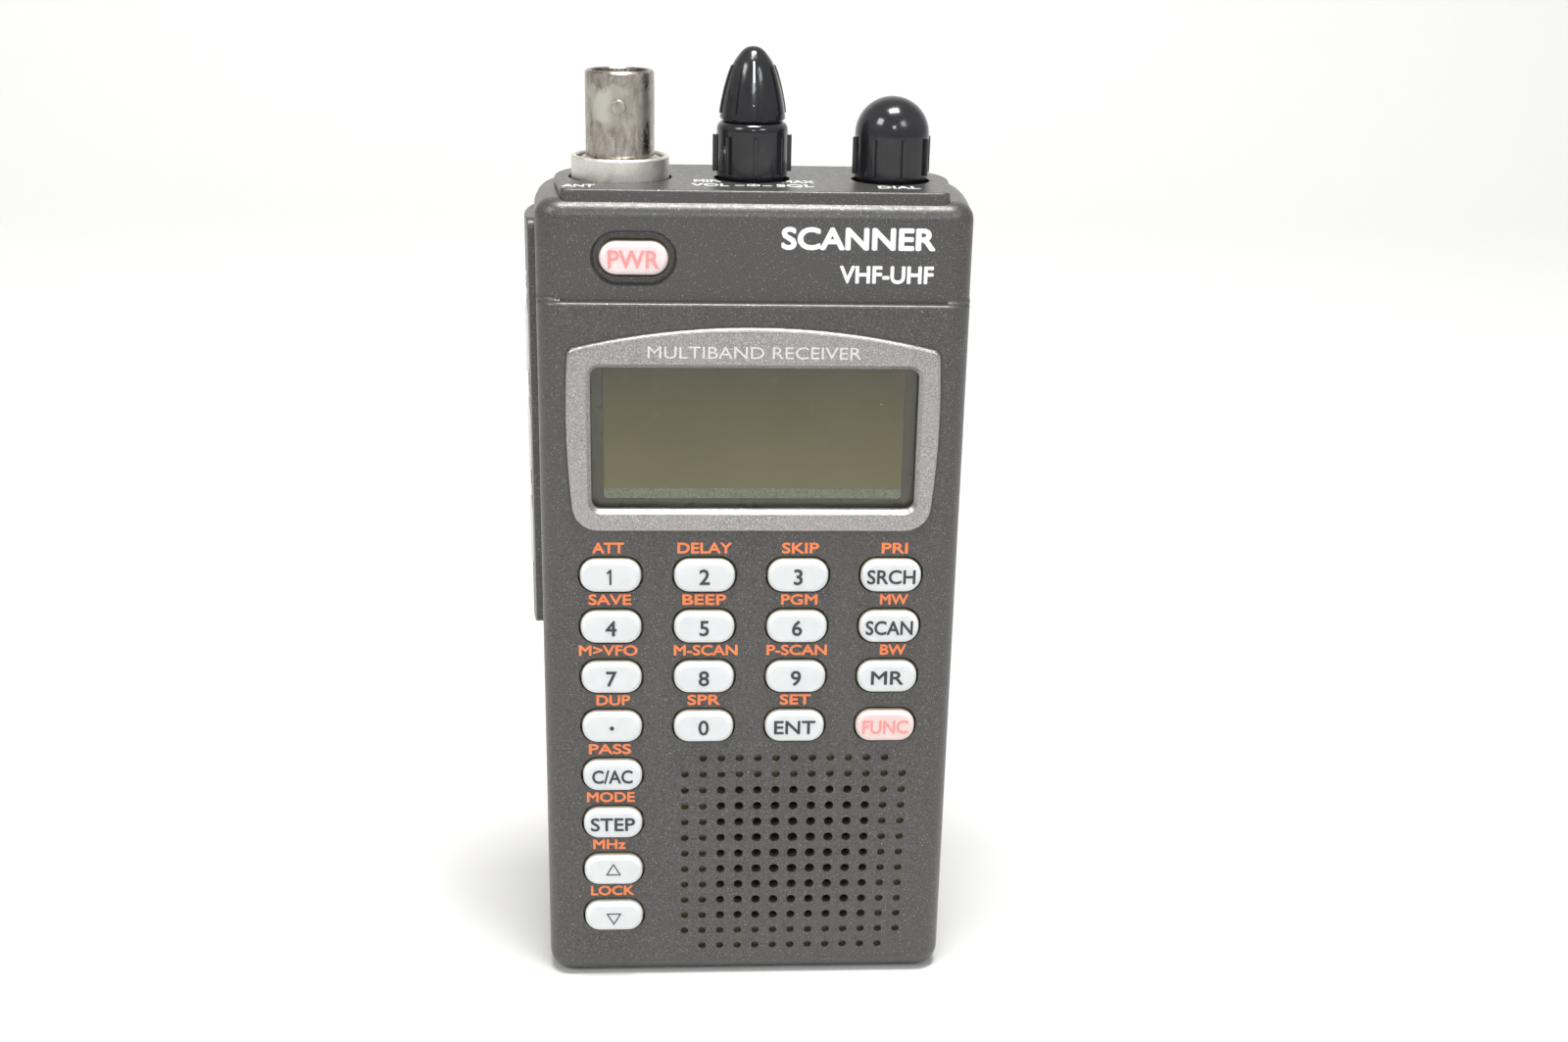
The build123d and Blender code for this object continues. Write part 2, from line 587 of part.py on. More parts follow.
# ================================================================ boards
def control_board():
    """The board behind the display and the keys, cut away around the speaker."""
    back = BOARD_FRONT + BOARD_THICK
    speaker_top = GRILLE_Z + SPEAKER_R + 1.4
    strip_right = -1.5 * KEY_PITCH_X + 5.35
    board = block(-27.2, 27.2, BOARD_FRONT, back, speaker_top, 116.0)
    board += block(-27.2, strip_right, BOARD_FRONT, back, 5.0, speaker_top)
    for x, z in UPPER_POSTS:
        board -= rod_y(x, z, BOARD_FRONT - 1, back + 1, POST_R + 0.2)
        side = math.copysign(4.0, x)
        board -= block(min(x, x + side), max(x, x + side), BOARD_FRONT - 1, back + 1, z - 2.4, z + 2.4)
    return board


MAIN_FRONT = -1.0
MAIN_BACK = 0.2
MAIN_LEFT = -21.4
MAIN_RIGHT = 27.0
MAIN_BASE = 66.5
MAIN_TOP = 104.0
BOARD_SCREW_PLACES = [(-18.4, 69.5), (23.6, 69.5), (-18.4, 101.0), (23.6, 101.0)]


def main_board():
    board = block(MAIN_LEFT, MAIN_RIGHT, MAIN_FRONT, MAIN_BACK, MAIN_BASE, MAIN_TOP)
    return board - [rod_y(x, z, MAIN_FRONT - 1, MAIN_BACK + 1, 1.1) for x, z in BOARD_SCREW_PLACES]


def shield_can():
    """The folded tin lid over the radio circuits on the rear of the main board."""
    can = block(-15.5, 20.5, MAIN_BACK, 6.2, 69.0, 101.5)
    return can - block(-15.2, 20.2, MAIN_BACK - 1, 5.9, 69.3, 101.2)


def board_screws():
    """Screws with spacers that hold the main board behind the control board."""
    back = BOARD_FRONT + BOARD_THICK
    parts = []
    for x, z in BOARD_SCREW_PLACES:
        head = rod_y(x, z, MAIN_BACK, MAIN_BACK + 0.9, 1.7)
        head -= rod_y(x, z, MAIN_BACK + 0.4, MAIN_BACK + 2, 0.75)
        shank = rod_y(x, z, MAIN_FRONT, MAIN_BACK, 0.95)
        parts.append(head + shank + rod_y(x, z, back, MAIN_FRONT, 1.7))
    return group(parts)


def pan_screw(x, z, y_seat, y_tip):
    """A pan-head screw that points at the face, with its head's seat at y_seat."""
    head = rod_y(x, z, y_seat, y_seat + SCREW_HEAD, SCREW_HEAD_R)
    head = fillet(edges_at(head, Axis.Y, y_seat + SCREW_HEAD), 0.4)
    slot_a = block(x - 1.1, x + 1.1, y_seat + 0.4, y_seat + 2, z - 0.22, z + 0.22)
    slot_b = block(x - 0.22, x + 0.22, y_seat + 0.4, y_seat + 2, z - 1.1, z + 1.1)
    return head - slot_a - slot_b + rod_y(x, z, y_tip, y_seat, SCREW_R - 0.1)


def case_screws():
    """Two screws through the rear case and two through the floor of the battery bay."""
    upper = [pan_screw(x, z, UPPER_SEAT_Y, INNER_BROW + 6) for x, z in UPPER_POSTS]
    lower = [pan_screw(x, z, BAY_FRONT, INNER_FRONT + 2.5) for x, z in LOWER_POSTS]
    return group(upper + lower)


# ================================================================ loudspeaker
SPEAKER_FRONT = INNER_FRONT + 0.3
SPEAKER_BACK = SPEAKER_FRONT + 4.3
MAGNET_R = 8.0


def speaker_frame():
    """The pressed steel basket with its rim and four windows."""
    basket = rod_y(GRILLE_X, GRILLE_Z, SPEAKER_FRONT, SPEAKER_FRONT + 1.0, SPEAKER_R)
    basket += rod_y(GRILLE_X, GRILLE_Z, SPEAKER_FRONT + 1.0, SPEAKER_BACK, 12.0)
    basket -= rod_y(GRILLE_X, GRILLE_Z, SPEAKER_FRONT - 1, SPEAKER_FRONT + 1.0, 13.8)
    basket -= rod_y(GRILLE_X, GRILLE_Z, SPEAKER_FRONT + 0.5, SPEAKER_BACK - 0.6, 11.4)
    basket -= rod_y(GRILLE_X, GRILLE_Z, SPEAKER_BACK - 1, SPEAKER_BACK + 1, 4.0)
    rim = rod_y(GRILLE_X, GRILLE_Z, SPEAKER_FRONT + 0.6, SPEAKER_FRONT + 1.0, 14.0)
    basket += rim - rod_y(GRILLE_X, GRILLE_Z, SPEAKER_FRONT, SPEAKER_FRONT + 2, 11.4)
    for turn in range(4):
        angle = math.radians(45 + 90 * turn)
        x = GRILLE_X + 8.2 * math.cos(angle)
        z = GRILLE_Z + 8.2 * math.sin(angle)
        basket -= rod_y(x, z, SPEAKER_BACK - 1, SPEAKER_BACK + 1, 2.2)
    return basket


def speaker_magnet():
    pot = rod_y(GRILLE_X, GRILLE_Z, SPEAKER_BACK, SPEAKER_BACK + 3.0, MAGNET_R)
    pot = fillet(edges_at(pot, Axis.Y, SPEAKER_BACK + 3.0), 0.5)
    return pot + rod_y(GRILLE_X, GRILLE_Z, SPEAKER_BACK - 1.5, SPEAKER_BACK, 3.6)


def speaker_cone():
    """The cone and its dust dome, turned about the speaker's own axis."""
    outline = make_face(Polyline(
        (0, 0.9), (3.8, 2.0), (10.6, 0.2), (13.4, 0.2), (13.4, 0.5), (10.7, 0.5),
        (4.0, 2.4), (0, 1.2), close=True))
    cone = revolve(outline, Axis.Y)
    return Pos(GRILLE_X, SPEAKER_FRONT, GRILLE_Z) * cone


# ================================================================ antenna socket
BARREL_R = 4.825
BARREL_BORE_R = 4.07
BARREL_TOP = 135.25
COLLAR_R = 6.9
COLLAR_TOP = 123.6
COLLAR_FLOOR = 122.7
SHANK_R = 4.7
LUG_Z = 130.6
LUG_R = 1.0
LUG_REACH = 5.6


def bnc_body():
    """The socket's barrel with two bayonet lugs, its shank and the flange under the case's top."""
    outline = [
        (0, INNER_TOP - 4.5), (SHANK_R, INNER_TOP - 4.5), (SHANK_R, INNER_TOP - 1.6), (6.2, INNER_TOP - 1.6),
        (6.2, INNER_TOP - FIT_GAP), (SHANK_R, INNER_TOP - FIT_GAP), (SHANK_R, COLLAR_FLOOR + 0.05),
        (5.7, COLLAR_FLOOR + 0.05), (5.7, COLLAR_FLOOR + 0.45), (BARREL_R, COLLAR_FLOOR + 0.9),
        (BARREL_R, BARREL_TOP - 0.3), (BARREL_R - 0.3, BARREL_TOP), (BARREL_BORE_R + 0.2, BARREL_TOP),
        (BARREL_BORE_R, BARREL_TOP - 0.2), (BARREL_BORE_R, INNER_TOP - 3.0), (0, INNER_TOP - 3.0),
    ]
    body = spun(outline, ANTENNA_X, CONTROL_Y)
    body -= rod_z(ANTENNA_X, CONTROL_Y, INNER_TOP - 6, INNER_TOP, 1.6)
    for side in (-1, 1):
        tip = CONTROL_Y + side * LUG_REACH
        root = CONTROL_Y + side * (BARREL_BORE_R + 0.35)
        lug = rod_y(ANTENNA_X, LUG_Z, min(tip, root), max(tip, root), LUG_R)
        body += fillet(edges_at(lug, Axis.Y, tip), 0.25)
    return body


def bnc_collar():
    """The round cup-shaped nut that clamps the socket to the case's top."""
    outline = [
        (SHANK_R + FIT_GAP, PANEL_SEAT), (COLLAR_R, PANEL_SEAT), (COLLAR_R, COLLAR_TOP - 0.25),
        (COLLAR_R - 0.25, COLLAR_TOP), (COLLAR_R - 0.55, COLLAR_TOP), (COLLAR_R - 0.75, COLLAR_TOP - 0.2),
        (COLLAR_R - 0.75, COLLAR_FLOOR), (SHANK_R + FIT_GAP, COLLAR_FLOOR),
    ]
    return spun(outline, ANTENNA_X, CONTROL_Y)


def bnc_insulator():
    """The white dielectric: a full-width base and the post around the centre contact."""
    base = INNER_TOP - 3.0
    bore = BARREL_BORE_R - 0.02
    outline = [(1.1, base), (bore, base), (bore, 124.5), (2.4, 124.5), (2.4, 133.6), (1.1, 133.6)]
    return spun(outline, ANTENNA_X, CONTROL_Y)


def bnc_contact():
    """The gold centre contact, bored for the plug's pin and slit across its mouth."""
    pin = rod_z(ANTENNA_X, CONTROL_Y, INNER_TOP - 7.0, 133.2, 1.08)
    pin -= rod_z(ANTENNA_X, CONTROL_Y, 127.6, 134, 0.69)
    return pin


# ================================================================ controls
SQUELCH_SHAFT_R = 3.0
VOLUME_SHAFT_R = 2.0
SHAFT_GAP = 0.05
BUSHING_R = 3.5
BUSHING_TOP = 119.5
KNOB_BASE = 120.0
KNOB_BODY_R = 5.03
KNOB_SHOULDER = 128.6
DIAL_R = 5.25
DIAL_DOME_Z = 126.95
VOLUME_TIP = 138.7
VOLUME_KNOB_GAP = 0.15
VOLUME_BORE = 5.5
RIB_COUNT = 8
RIB_HALF_W = 0.25
RIB_BASE = 121.5
RIB_TOP = 126.6
SQUELCH_RIB_START = 3.5
VOLUME_RIB_START = 10.0
DIAL_RIB_START = 12.0


def ribs(x, y, reach, z0, z1, start):
    """Thin upright grip ribs, spaced evenly round a knob from a starting angle."""
    fins = []
    for turn in range(RIB_COUNT):
        fin = block(KNOB_BODY_R - 0.8, reach, -RIB_HALF_W, RIB_HALF_W, z0, z1)
        fin = fillet(fin.edges().filter_by(Axis.Z).group_by(Axis.X)[-1], 0.15)
        fins.append(Pos(x, y, 0) * Rot(0, 0, start + 360 / RIB_COUNT * turn) * fin)
    return fins


def squelch_knob():
    """The ring-shaped lower knob."""
    body = rod_z(VOLUME_X, CONTROL_Y, KNOB_BASE, KNOB_SHOULDER, KNOB_BODY_R)
    body = fillet(edges_at(body, Axis.Z, KNOB_SHOULDER), 1.25)
    body = chamfer(edges_at(body, Axis.Z, KNOB_BASE), 1.2, 0.4)
    body += ribs(VOLUME_X, CONTROL_Y, 5.6, RIB_BASE, RIB_TOP, SQUELCH_RIB_START)
    body -= rod_z(VOLUME_X, CONTROL_Y, KNOB_BASE - 1, KNOB_SHOULDER + 1, SQUELCH_SHAFT_R + 0.01)
    return body


def bullet(grow):
    """The upper knob's turned shape, or the same shape grown evenly for its flutes to be cut from."""
    base = KNOB_SHOULDER + VOLUME_KNOB_GAP
    side_r = [4.62 + grow, 4.2 + grow, 3.3 + grow, 2.3 + grow]
    side_z = [base + 0.2, base + 3.1, base + 6.4, base + 8.4]
    top = VOLUME_TIP + grow
    side = Spline(*zip(side_r, side_z), tangents=((-0.05, 1), (-0.8, 1)))
    cap = Spline(side @ 1, (0, top), tangents=((-0.8, 1), (-1, 0)))
    outline = make_face([
        Line((0, base), (side_r[0] - 0.1, base)),
        Line((side_r[0] - 0.1, base), (side_r[0], side_z[0])),
        side,
        cap,
        Line((0, top), (0, base)),
    ])
    return revolve(Plane.XZ * outline, Axis.Z)


def volume_knob():
    """The bullet-shaped upper knob with fine ribs down its sides."""
    base = KNOB_SHOULDER + VOLUME_KNOB_GAP
    rib_shape = bullet(0.22)
    knob = bullet(0)
    for turn in range(RIB_COUNT):
        angle = VOLUME_RIB_START + 360 / RIB_COUNT * turn
        fin = Rot(0, 0, angle) * block(1.5, 6, -RIB_HALF_W, RIB_HALF_W, base + 0.9, base + 7.4)
        knob += rib_shape & fin
    knob = Pos(VOLUME_X, CONTROL_Y, 0) * knob
    return knob - rod_z(VOLUME_X, CONTROL_Y, base - 1, base + VOLUME_BORE, VOLUME_SHAFT_R + 0.01)


def dial_knob():
    """The round-topped tuning knob."""
    body = rod_z(DIAL_X, CONTROL_Y, KNOB_BASE, DIAL_DOME_Z, DIAL_R)
    body += Pos(DIAL_X, CONTROL_Y, DIAL_DOME_Z) * Sphere(DIAL_R)
    body = chamfer(edges_at(body, Axis.Z, KNOB_BASE), 1.2, 0.4)
    body += ribs(DIAL_X, CONTROL_Y, 5.75, RIB_BASE, RIB_TOP, DIAL_RIB_START)
    return body - rod_z(DIAL_X, CONTROL_Y, KNOB_BASE - 1, DIAL_DOME_Z, SQUELCH_SHAFT_R + 0.01)


def squelch_shaft():
    """The hollow outer shaft."""
    tube = rod_z(VOLUME_X, CONTROL_Y, 113.0, KNOB_SHOULDER - 0.4, SQUELCH_SHAFT_R)
    return tube - rod_z(VOLUME_X, CONTROL_Y, 112, KNOB_SHOULDER + 1, VOLUME_SHAFT_R + SHAFT_GAP)


def volume_shaft():
    end = KNOB_SHOULDER + VOLUME_KNOB_GAP + VOLUME_BORE - 0.3
    return rod_z(VOLUME_X, CONTROL_Y, 113.0, end, VOLUME_SHAFT_R)


def dial_shaft():
    return rod_z(DIAL_X, CONTROL_Y, 113.0, DIAL_DOME_Z - 0.4, SQUELCH_SHAFT_R)


def control_body(x, half_width, base):
    """A panel control: a square body, a threaded bushing and a clear way for its shaft."""
    body = block(x - half_width, x + half_width, CONTROL_Y - 6, CONTROL_Y + 6, base, INNER_TOP - FIT_GAP)
    body += rod_z(x, CONTROL_Y, INNER_TOP - 1, BUSHING_TOP, BUSHING_R)
    return body - rod_z(x, CONTROL_Y, 112.5, BUSHING_TOP + 1, SQUELCH_SHAFT_R + SHAFT_GAP)


def shaft_nuts():
    """The two hexagon nuts that hold the potentiometer and the encoder."""
    nuts = []
    for x in (VOLUME_X, DIAL_X):
        hexagon = Pos(x, CONTROL_Y, PANEL_SEAT) * RegularPolygon(5.0, 6)
        nut = extrude(hexagon, BUSHING_TOP - PANEL_SEAT)
        nuts.append(nut - rod_z(x, CONTROL_Y, PANEL_SEAT - 1, BUSHING_TOP + 1, BUSHING_R + 0.02))
    return group(nuts)


# ================================================================ jacks
def ear_jack():
    """The 3.5 mm earphone jack, its nose flush in the case's right side."""
    body = block(15.0, INNER_X - FIT_GAP, JACK_Y - 3.1, JACK_Y + 3.1, EAR_Z - 3.1, EAR_Z + 3.1)
    body += rod_x(JACK_Y, EAR_Z, INNER_X - 1, JACK_FACE_X, 3.0)
    return body - rod_x(JACK_Y, EAR_Z, JACK_FACE_X - EAR_BORE_DEEP, HALF_W + 1, EAR_BORE_R)


def dc_jack():
    """The power jack with its centre pin."""
    body = block(18.0, INNER_X - FIT_GAP, JACK_Y - 3.8, JACK_Y + 3.8, DC_Z - 4.5, DC_Z + 4.5)
    body += rod_x(JACK_Y, DC_Z, INNER_X - 1, JACK_FACE_X, 4.0)
    floor = JACK_FACE_X - DC_BORE_DEEP
    body -= rod_x(JACK_Y, DC_Z, floor, HALF_W + 1, DC_BORE_R)
    return body + rod_x(JACK_Y, DC_Z, floor - 1, JACK_FACE_X - 0.7, 0.85)


# ================================================================ batteries
def cell_places():
    """Each cell's height and the side that its positive end points to."""
    for number in range(CELL_COUNT):
        yield CELL_FIRST_Z + CELL_PITCH * number, -1 if number % 2 else 1


def battery_cells():
    cells = []
    for z, side in cell_places():
        nub_end = side * (BAY_X - 0.4)
        shoulder = nub_end - side * CELL_NUB
        tail = shoulder - side * CELL_BODY
        can = rod_x(CELL_Y, z, min(shoulder, tail), max(shoulder, tail), CELL_R)
        can = fillet(can.edges().filter_by(GeomType.CIRCLE), 0.5)
        cells.append(can + rod_x(CELL_Y, z, min(shoulder, nub_end), max(shoulder, nub_end), CELL_NUB_R))
    return group(cells)


def leaf_spring(z, side):
    """A bowed strip that presses on a cell's flat end."""
    rise = 2 * BAY_X - 0.8 - CELL_BODY - CELL_NUB - 0.1
    half_chord = 3.6
    radius = (half_chord ** 2 + rise ** 2) / (2 * rise)
    wall = side * (BAY_X - 0.4)
    centre = wall - side * (rise - radius)
    hoop = rod_y(centre, z, CELL_Y - 2.5, CELL_Y + 2.5, radius)
    hoop -= rod_y(centre, z, CELL_Y - 3, CELL_Y + 3, radius - 0.3)
    inner = wall - side * 6
    return hoop & block(min(wall, inner), max(wall, inner), CELL_Y - 3, CELL_Y + 3, z - 5, z + 5)


def contact_strip(z_low, z_high, side):
    outer = side * BAY_X
    inner = side * (BAY_X - 0.4)
    return block(min(outer, inner), max(outer, inner), CELL_Y - 4, CELL_Y + 4, z_low - 4.5, z_high + 4.5)


def battery_contacts():
    """The strips that join the four cells in series: two links, one link and two end strips."""
    z = [place for place, _ in cell_places()]
    strips = [
        contact_strip(z[0], z[1], -1) + leaf_spring(z[0], -1),
        contact_strip(z[2], z[3], -1) + leaf_spring(z[2], -1),
        contact_strip(z[1], z[2], 1) + leaf_spring(z[1], 1),
        contact_strip(z[0], z[0], 1),
        contact_strip(z[3], z[3], 1) + leaf_spring(z[3], 1),
    ]
    return group(strips)


def battery_cover():
    """The door over the cells: it turns on two moulded pins along its round lower edge."""
    door = case_prism(FRONT_Y, COVER_BASE, COVER_TOP) - case_prism(FRONT_Y, 0, HEIGHT, COVER_THICK)
    door &= block(-COVER_HALF_W, COVER_HALF_W, COVER_BACK_Y, REAR_Y + 1, 0, HEIGHT)
    inner_y = REAR_Y - COVER_THICK
    door += block(-TONGUE_HALF_W, TONGUE_HALF_W, inner_y, REAR_Y, COVER_PIVOT_Z, COVER_BASE + 0.5)
    door += rod_x(COVER_PIVOT_Y, COVER_PIVOT_Z, -TONGUE_HALF_W, TONGUE_HALF_W, COVER_THICK / 2)
    pin_end = TONGUE_HALF_W + COVER_PIN_L
    door += rod_x(COVER_PIVOT_Y, COVER_PIVOT_Z, -pin_end, pin_end, COVER_PIN_R)
    grip = RectangleRounded(16.0, 4.0, 1.9)
    door -= facing_slab(grip, 0, COVER_TOP - 5.0, REAR_Y - 0.6, REAR_Y + 1)
    for line in range(3):
        z = COVER_TOP - 10.0 - 2.0 * line
        door += fillet(block(-7, 7, REAR_Y - 0.5, REAR_Y + 0.3, z - 0.5, z + 0.5).edges().filter_by(Axis.X)
                       .group_by(Axis.Y)[-1], 0.25)
    return door


# ================================================================ output
NODES = {
    "front_case": front_case,
    "rear_case": rear_case,
    "top_panel": top_panel,
    "lcd_bezel": lcd_bezel,
    "lcd_window": lcd_window,
    "lcd_glass": lcd_glass,
    "lcd_backlight": lcd_backlight,
    "keypad_mat": keypad_mat,
    "power_key": power_key,
    "side_panel": side_panel,
    "side_switches": side_switches,
    "control_board": control_board,
    "main_board": main_board,
    "shield_can": shield_can,
    "board_screws": board_screws,
    "case_screws": case_screws,
    "speaker_frame": speaker_frame,
    "speaker_magnet": speaker_magnet,
    "speaker_cone": speaker_cone,
    "bnc_body": bnc_body,
    "bnc_collar": bnc_collar,
    "bnc_insulator": bnc_insulator,
    "bnc_contact": bnc_contact,
    "volume_pot": lambda: control_body(VOLUME_X, 6.5, 106.5),
    "dial_encoder": lambda: control_body(DIAL_X, 6.0, 109.5),
    "shaft_nuts": shaft_nuts,
    "squelch_knob": squelch_knob,
    "squelch_shaft": squelch_shaft,
    "volume_knob": volume_knob,
    "volume_shaft": volume_shaft,
    "dial_knob": dial_knob,
    "dial_shaft": dial_shaft,
    "ear_jack": ear_jack,
    "dc_jack": dc_jack,
    "battery_cells": battery_cells,
    "battery_contacts": battery_contacts,
    "battery_cover": battery_cover,
}


def write_parts():
    os.makedirs("parts", exist_ok=True)
    for name, make in NODES.items():
        export_step(make(), f"parts/{name}.step")
    for name, x, z in key_places():
        export_step(keypad_key(x, z), f"parts/{name}.step")
    for name, z in SIDE_KEY_Z.items():
        export_step(side_key(z), f"parts/{name}.step")


write_parts()
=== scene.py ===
"""Looks of the handheld wideband scanner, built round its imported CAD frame. Lengths are in millimetres."""
import math

import bmesh
import bpy
from mathutils import Matrix, Vector
from mathutils.bvhtree import BVHTree


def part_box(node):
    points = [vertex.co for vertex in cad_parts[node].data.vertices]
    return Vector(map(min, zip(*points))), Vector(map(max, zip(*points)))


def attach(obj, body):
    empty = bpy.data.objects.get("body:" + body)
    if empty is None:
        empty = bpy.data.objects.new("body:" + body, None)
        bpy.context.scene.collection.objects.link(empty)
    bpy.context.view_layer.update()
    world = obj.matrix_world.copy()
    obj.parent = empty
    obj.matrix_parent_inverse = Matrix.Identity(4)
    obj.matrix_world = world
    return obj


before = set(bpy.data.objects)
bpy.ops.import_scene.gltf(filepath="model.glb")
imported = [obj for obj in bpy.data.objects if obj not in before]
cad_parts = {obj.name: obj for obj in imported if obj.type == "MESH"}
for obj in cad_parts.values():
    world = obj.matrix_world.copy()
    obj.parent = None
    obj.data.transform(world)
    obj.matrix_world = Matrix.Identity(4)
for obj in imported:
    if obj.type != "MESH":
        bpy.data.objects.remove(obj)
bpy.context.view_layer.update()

MM = 0.001
MODEL = bpy.context.scene.collection


# ------------------------------------------------------------------ camera
LENS = 42.01
SENSOR = 36.0
CAMERA_AT = (-11.07, -261.42, 157.04)
CAMERA_YAW = 0.06319
CAMERA_DOWN = 0.32352
CAMERA_ROLL = 0.02132


def place_camera():
    data = bpy.data.cameras.new("camera")
    data.lens = LENS
    data.sensor_width = SENSOR
    data.clip_start = 0.01
    camera = bpy.data.objects.new("camera", data)
    MODEL.objects.link(camera)
    flat = math.cos(CAMERA_DOWN)
    look = Vector((math.sin(CAMERA_YAW) * flat, math.cos(CAMERA_YAW) * flat, -math.sin(CAMERA_DOWN)))
    level = Vector((math.cos(CAMERA_YAW), -math.sin(CAMERA_YAW), 0))
    upright = level.cross(look)
    right = level * math.cos(CAMERA_ROLL) + upright * math.sin(CAMERA_ROLL)
    up = upright * math.cos(CAMERA_ROLL) - level * math.sin(CAMERA_ROLL)
    turn = Matrix((right, up, -look)).transposed().to_4x4()
    camera.matrix_world = Matrix.Translation(Vector(CAMERA_AT) * MM) @ turn
    bpy.context.scene.camera = camera


# ------------------------------------------------------------------ light
def softbox(name, at, aim, width, height, watts, tint=(1, 1, 1)):
    """A rectangular soft light at one point, facing another."""
    data = bpy.data.lights.new(name, "AREA")
    data.shape = "RECTANGLE"
    data.size = width * MM
    data.size_y = height * MM
    data.energy = watts
    data.color = tint
    light = bpy.data.objects.new(name, data)
    MODEL.objects.link(light)
    light.location = Vector(at) * MM
    light.rotation_euler = (Vector(aim) - Vector(at)).to_track_quat("-Z", "Y").to_euler()


WARM, NEUTRAL, COOL, BLUISH = (1.0, 0.98, 0.95), (1.0, 0.99, 0.97), (0.97, 0.98, 1.0), (0.82, 0.91, 1.0)
ROOM_STRENGTH = 0.43


def light_scene():
    """A pale room with two high side lights, a small bluish one in front and a broad one overhead."""
    world = bpy.data.worlds.new("pale_room")
    bpy.context.scene.world = world
    world.use_nodes = True
    sky = world.node_tree.nodes["Background"]
    sky.inputs["Color"].default_value = (*COOL, 1)
    sky.inputs["Strength"].default_value = ROOM_STRENGTH
    middle = (0, 0, 70)
    softbox("light_left", (-1120, -840, 1240), middle, 520, 520, 9.5, WARM)
    softbox("light_right", (840, -1200, 1120), middle, 400, 400, 5.5, COOL)
    softbox("light_front", (40, -1520, 860), middle, 220, 220, 3.0, BLUISH)
    softbox("light_top", (60, -230, 1500), (0, 0, 100), 560, 320, 26.0, NEUTRAL)
    bpy.context.scene.view_settings.view_transform = "Standard"


FLOOR_HALF = 4000             # of its width and of its run in front of the object
SWEEP_START = 700
SWEEP_R = 700
SWEEP_STEPS = 24
BACKDROP_TOP = 3500


def lay_floor():
    """A pale floor that sweeps up into a backdrop behind the object, with painted light that makes it lighter
    further back.
    """
    run = [(-FLOOR_HALF, 0), (SWEEP_START, 0)]
    for i in range(1, SWEEP_STEPS + 1):
        angle = math.pi / 2 * i / SWEEP_STEPS
        run.append((SWEEP_START + SWEEP_R * math.sin(angle), SWEEP_R - SWEEP_R * math.cos(angle)))
    run.append((SWEEP_START + SWEEP_R, BACKDROP_TOP))
    mesh = bpy.data.meshes.new("floor")
    verts = [(side * FLOOR_HALF * MM, y * MM, z * MM) for y, z in run for side in (-1, 1)]
    mesh.from_pydata(verts, [], [(i, i + 1, i + 3, i + 2) for i in range(0, 2 * len(run) - 2, 2)])
    mesh.polygons.foreach_set("use_smooth", [True] * len(mesh.polygons))
    floor = bpy.data.objects.new("floor", mesh)
    MODEL.objects.link(floor)
    finish = Finish("floor_paper", Roughness=0.8)
    near = finish.blend(finish.noise(240, 2), (0.64, 0.638, 0.63), (0.66, 0.658, 0.65))
    # painted light: the floor's colour turns lighter further back, standing in for a brighter backdrop
    far_painted_light = finish.ramp(finish.axis("Y"), 250, 1100)
    finish.colour(finish.blend(far_painted_light, near, (0.82, 0.818, 0.81)))
    finish.bump(finish.noise(1.5, 3), 0.02)
    mesh.materials.append(finish.material)


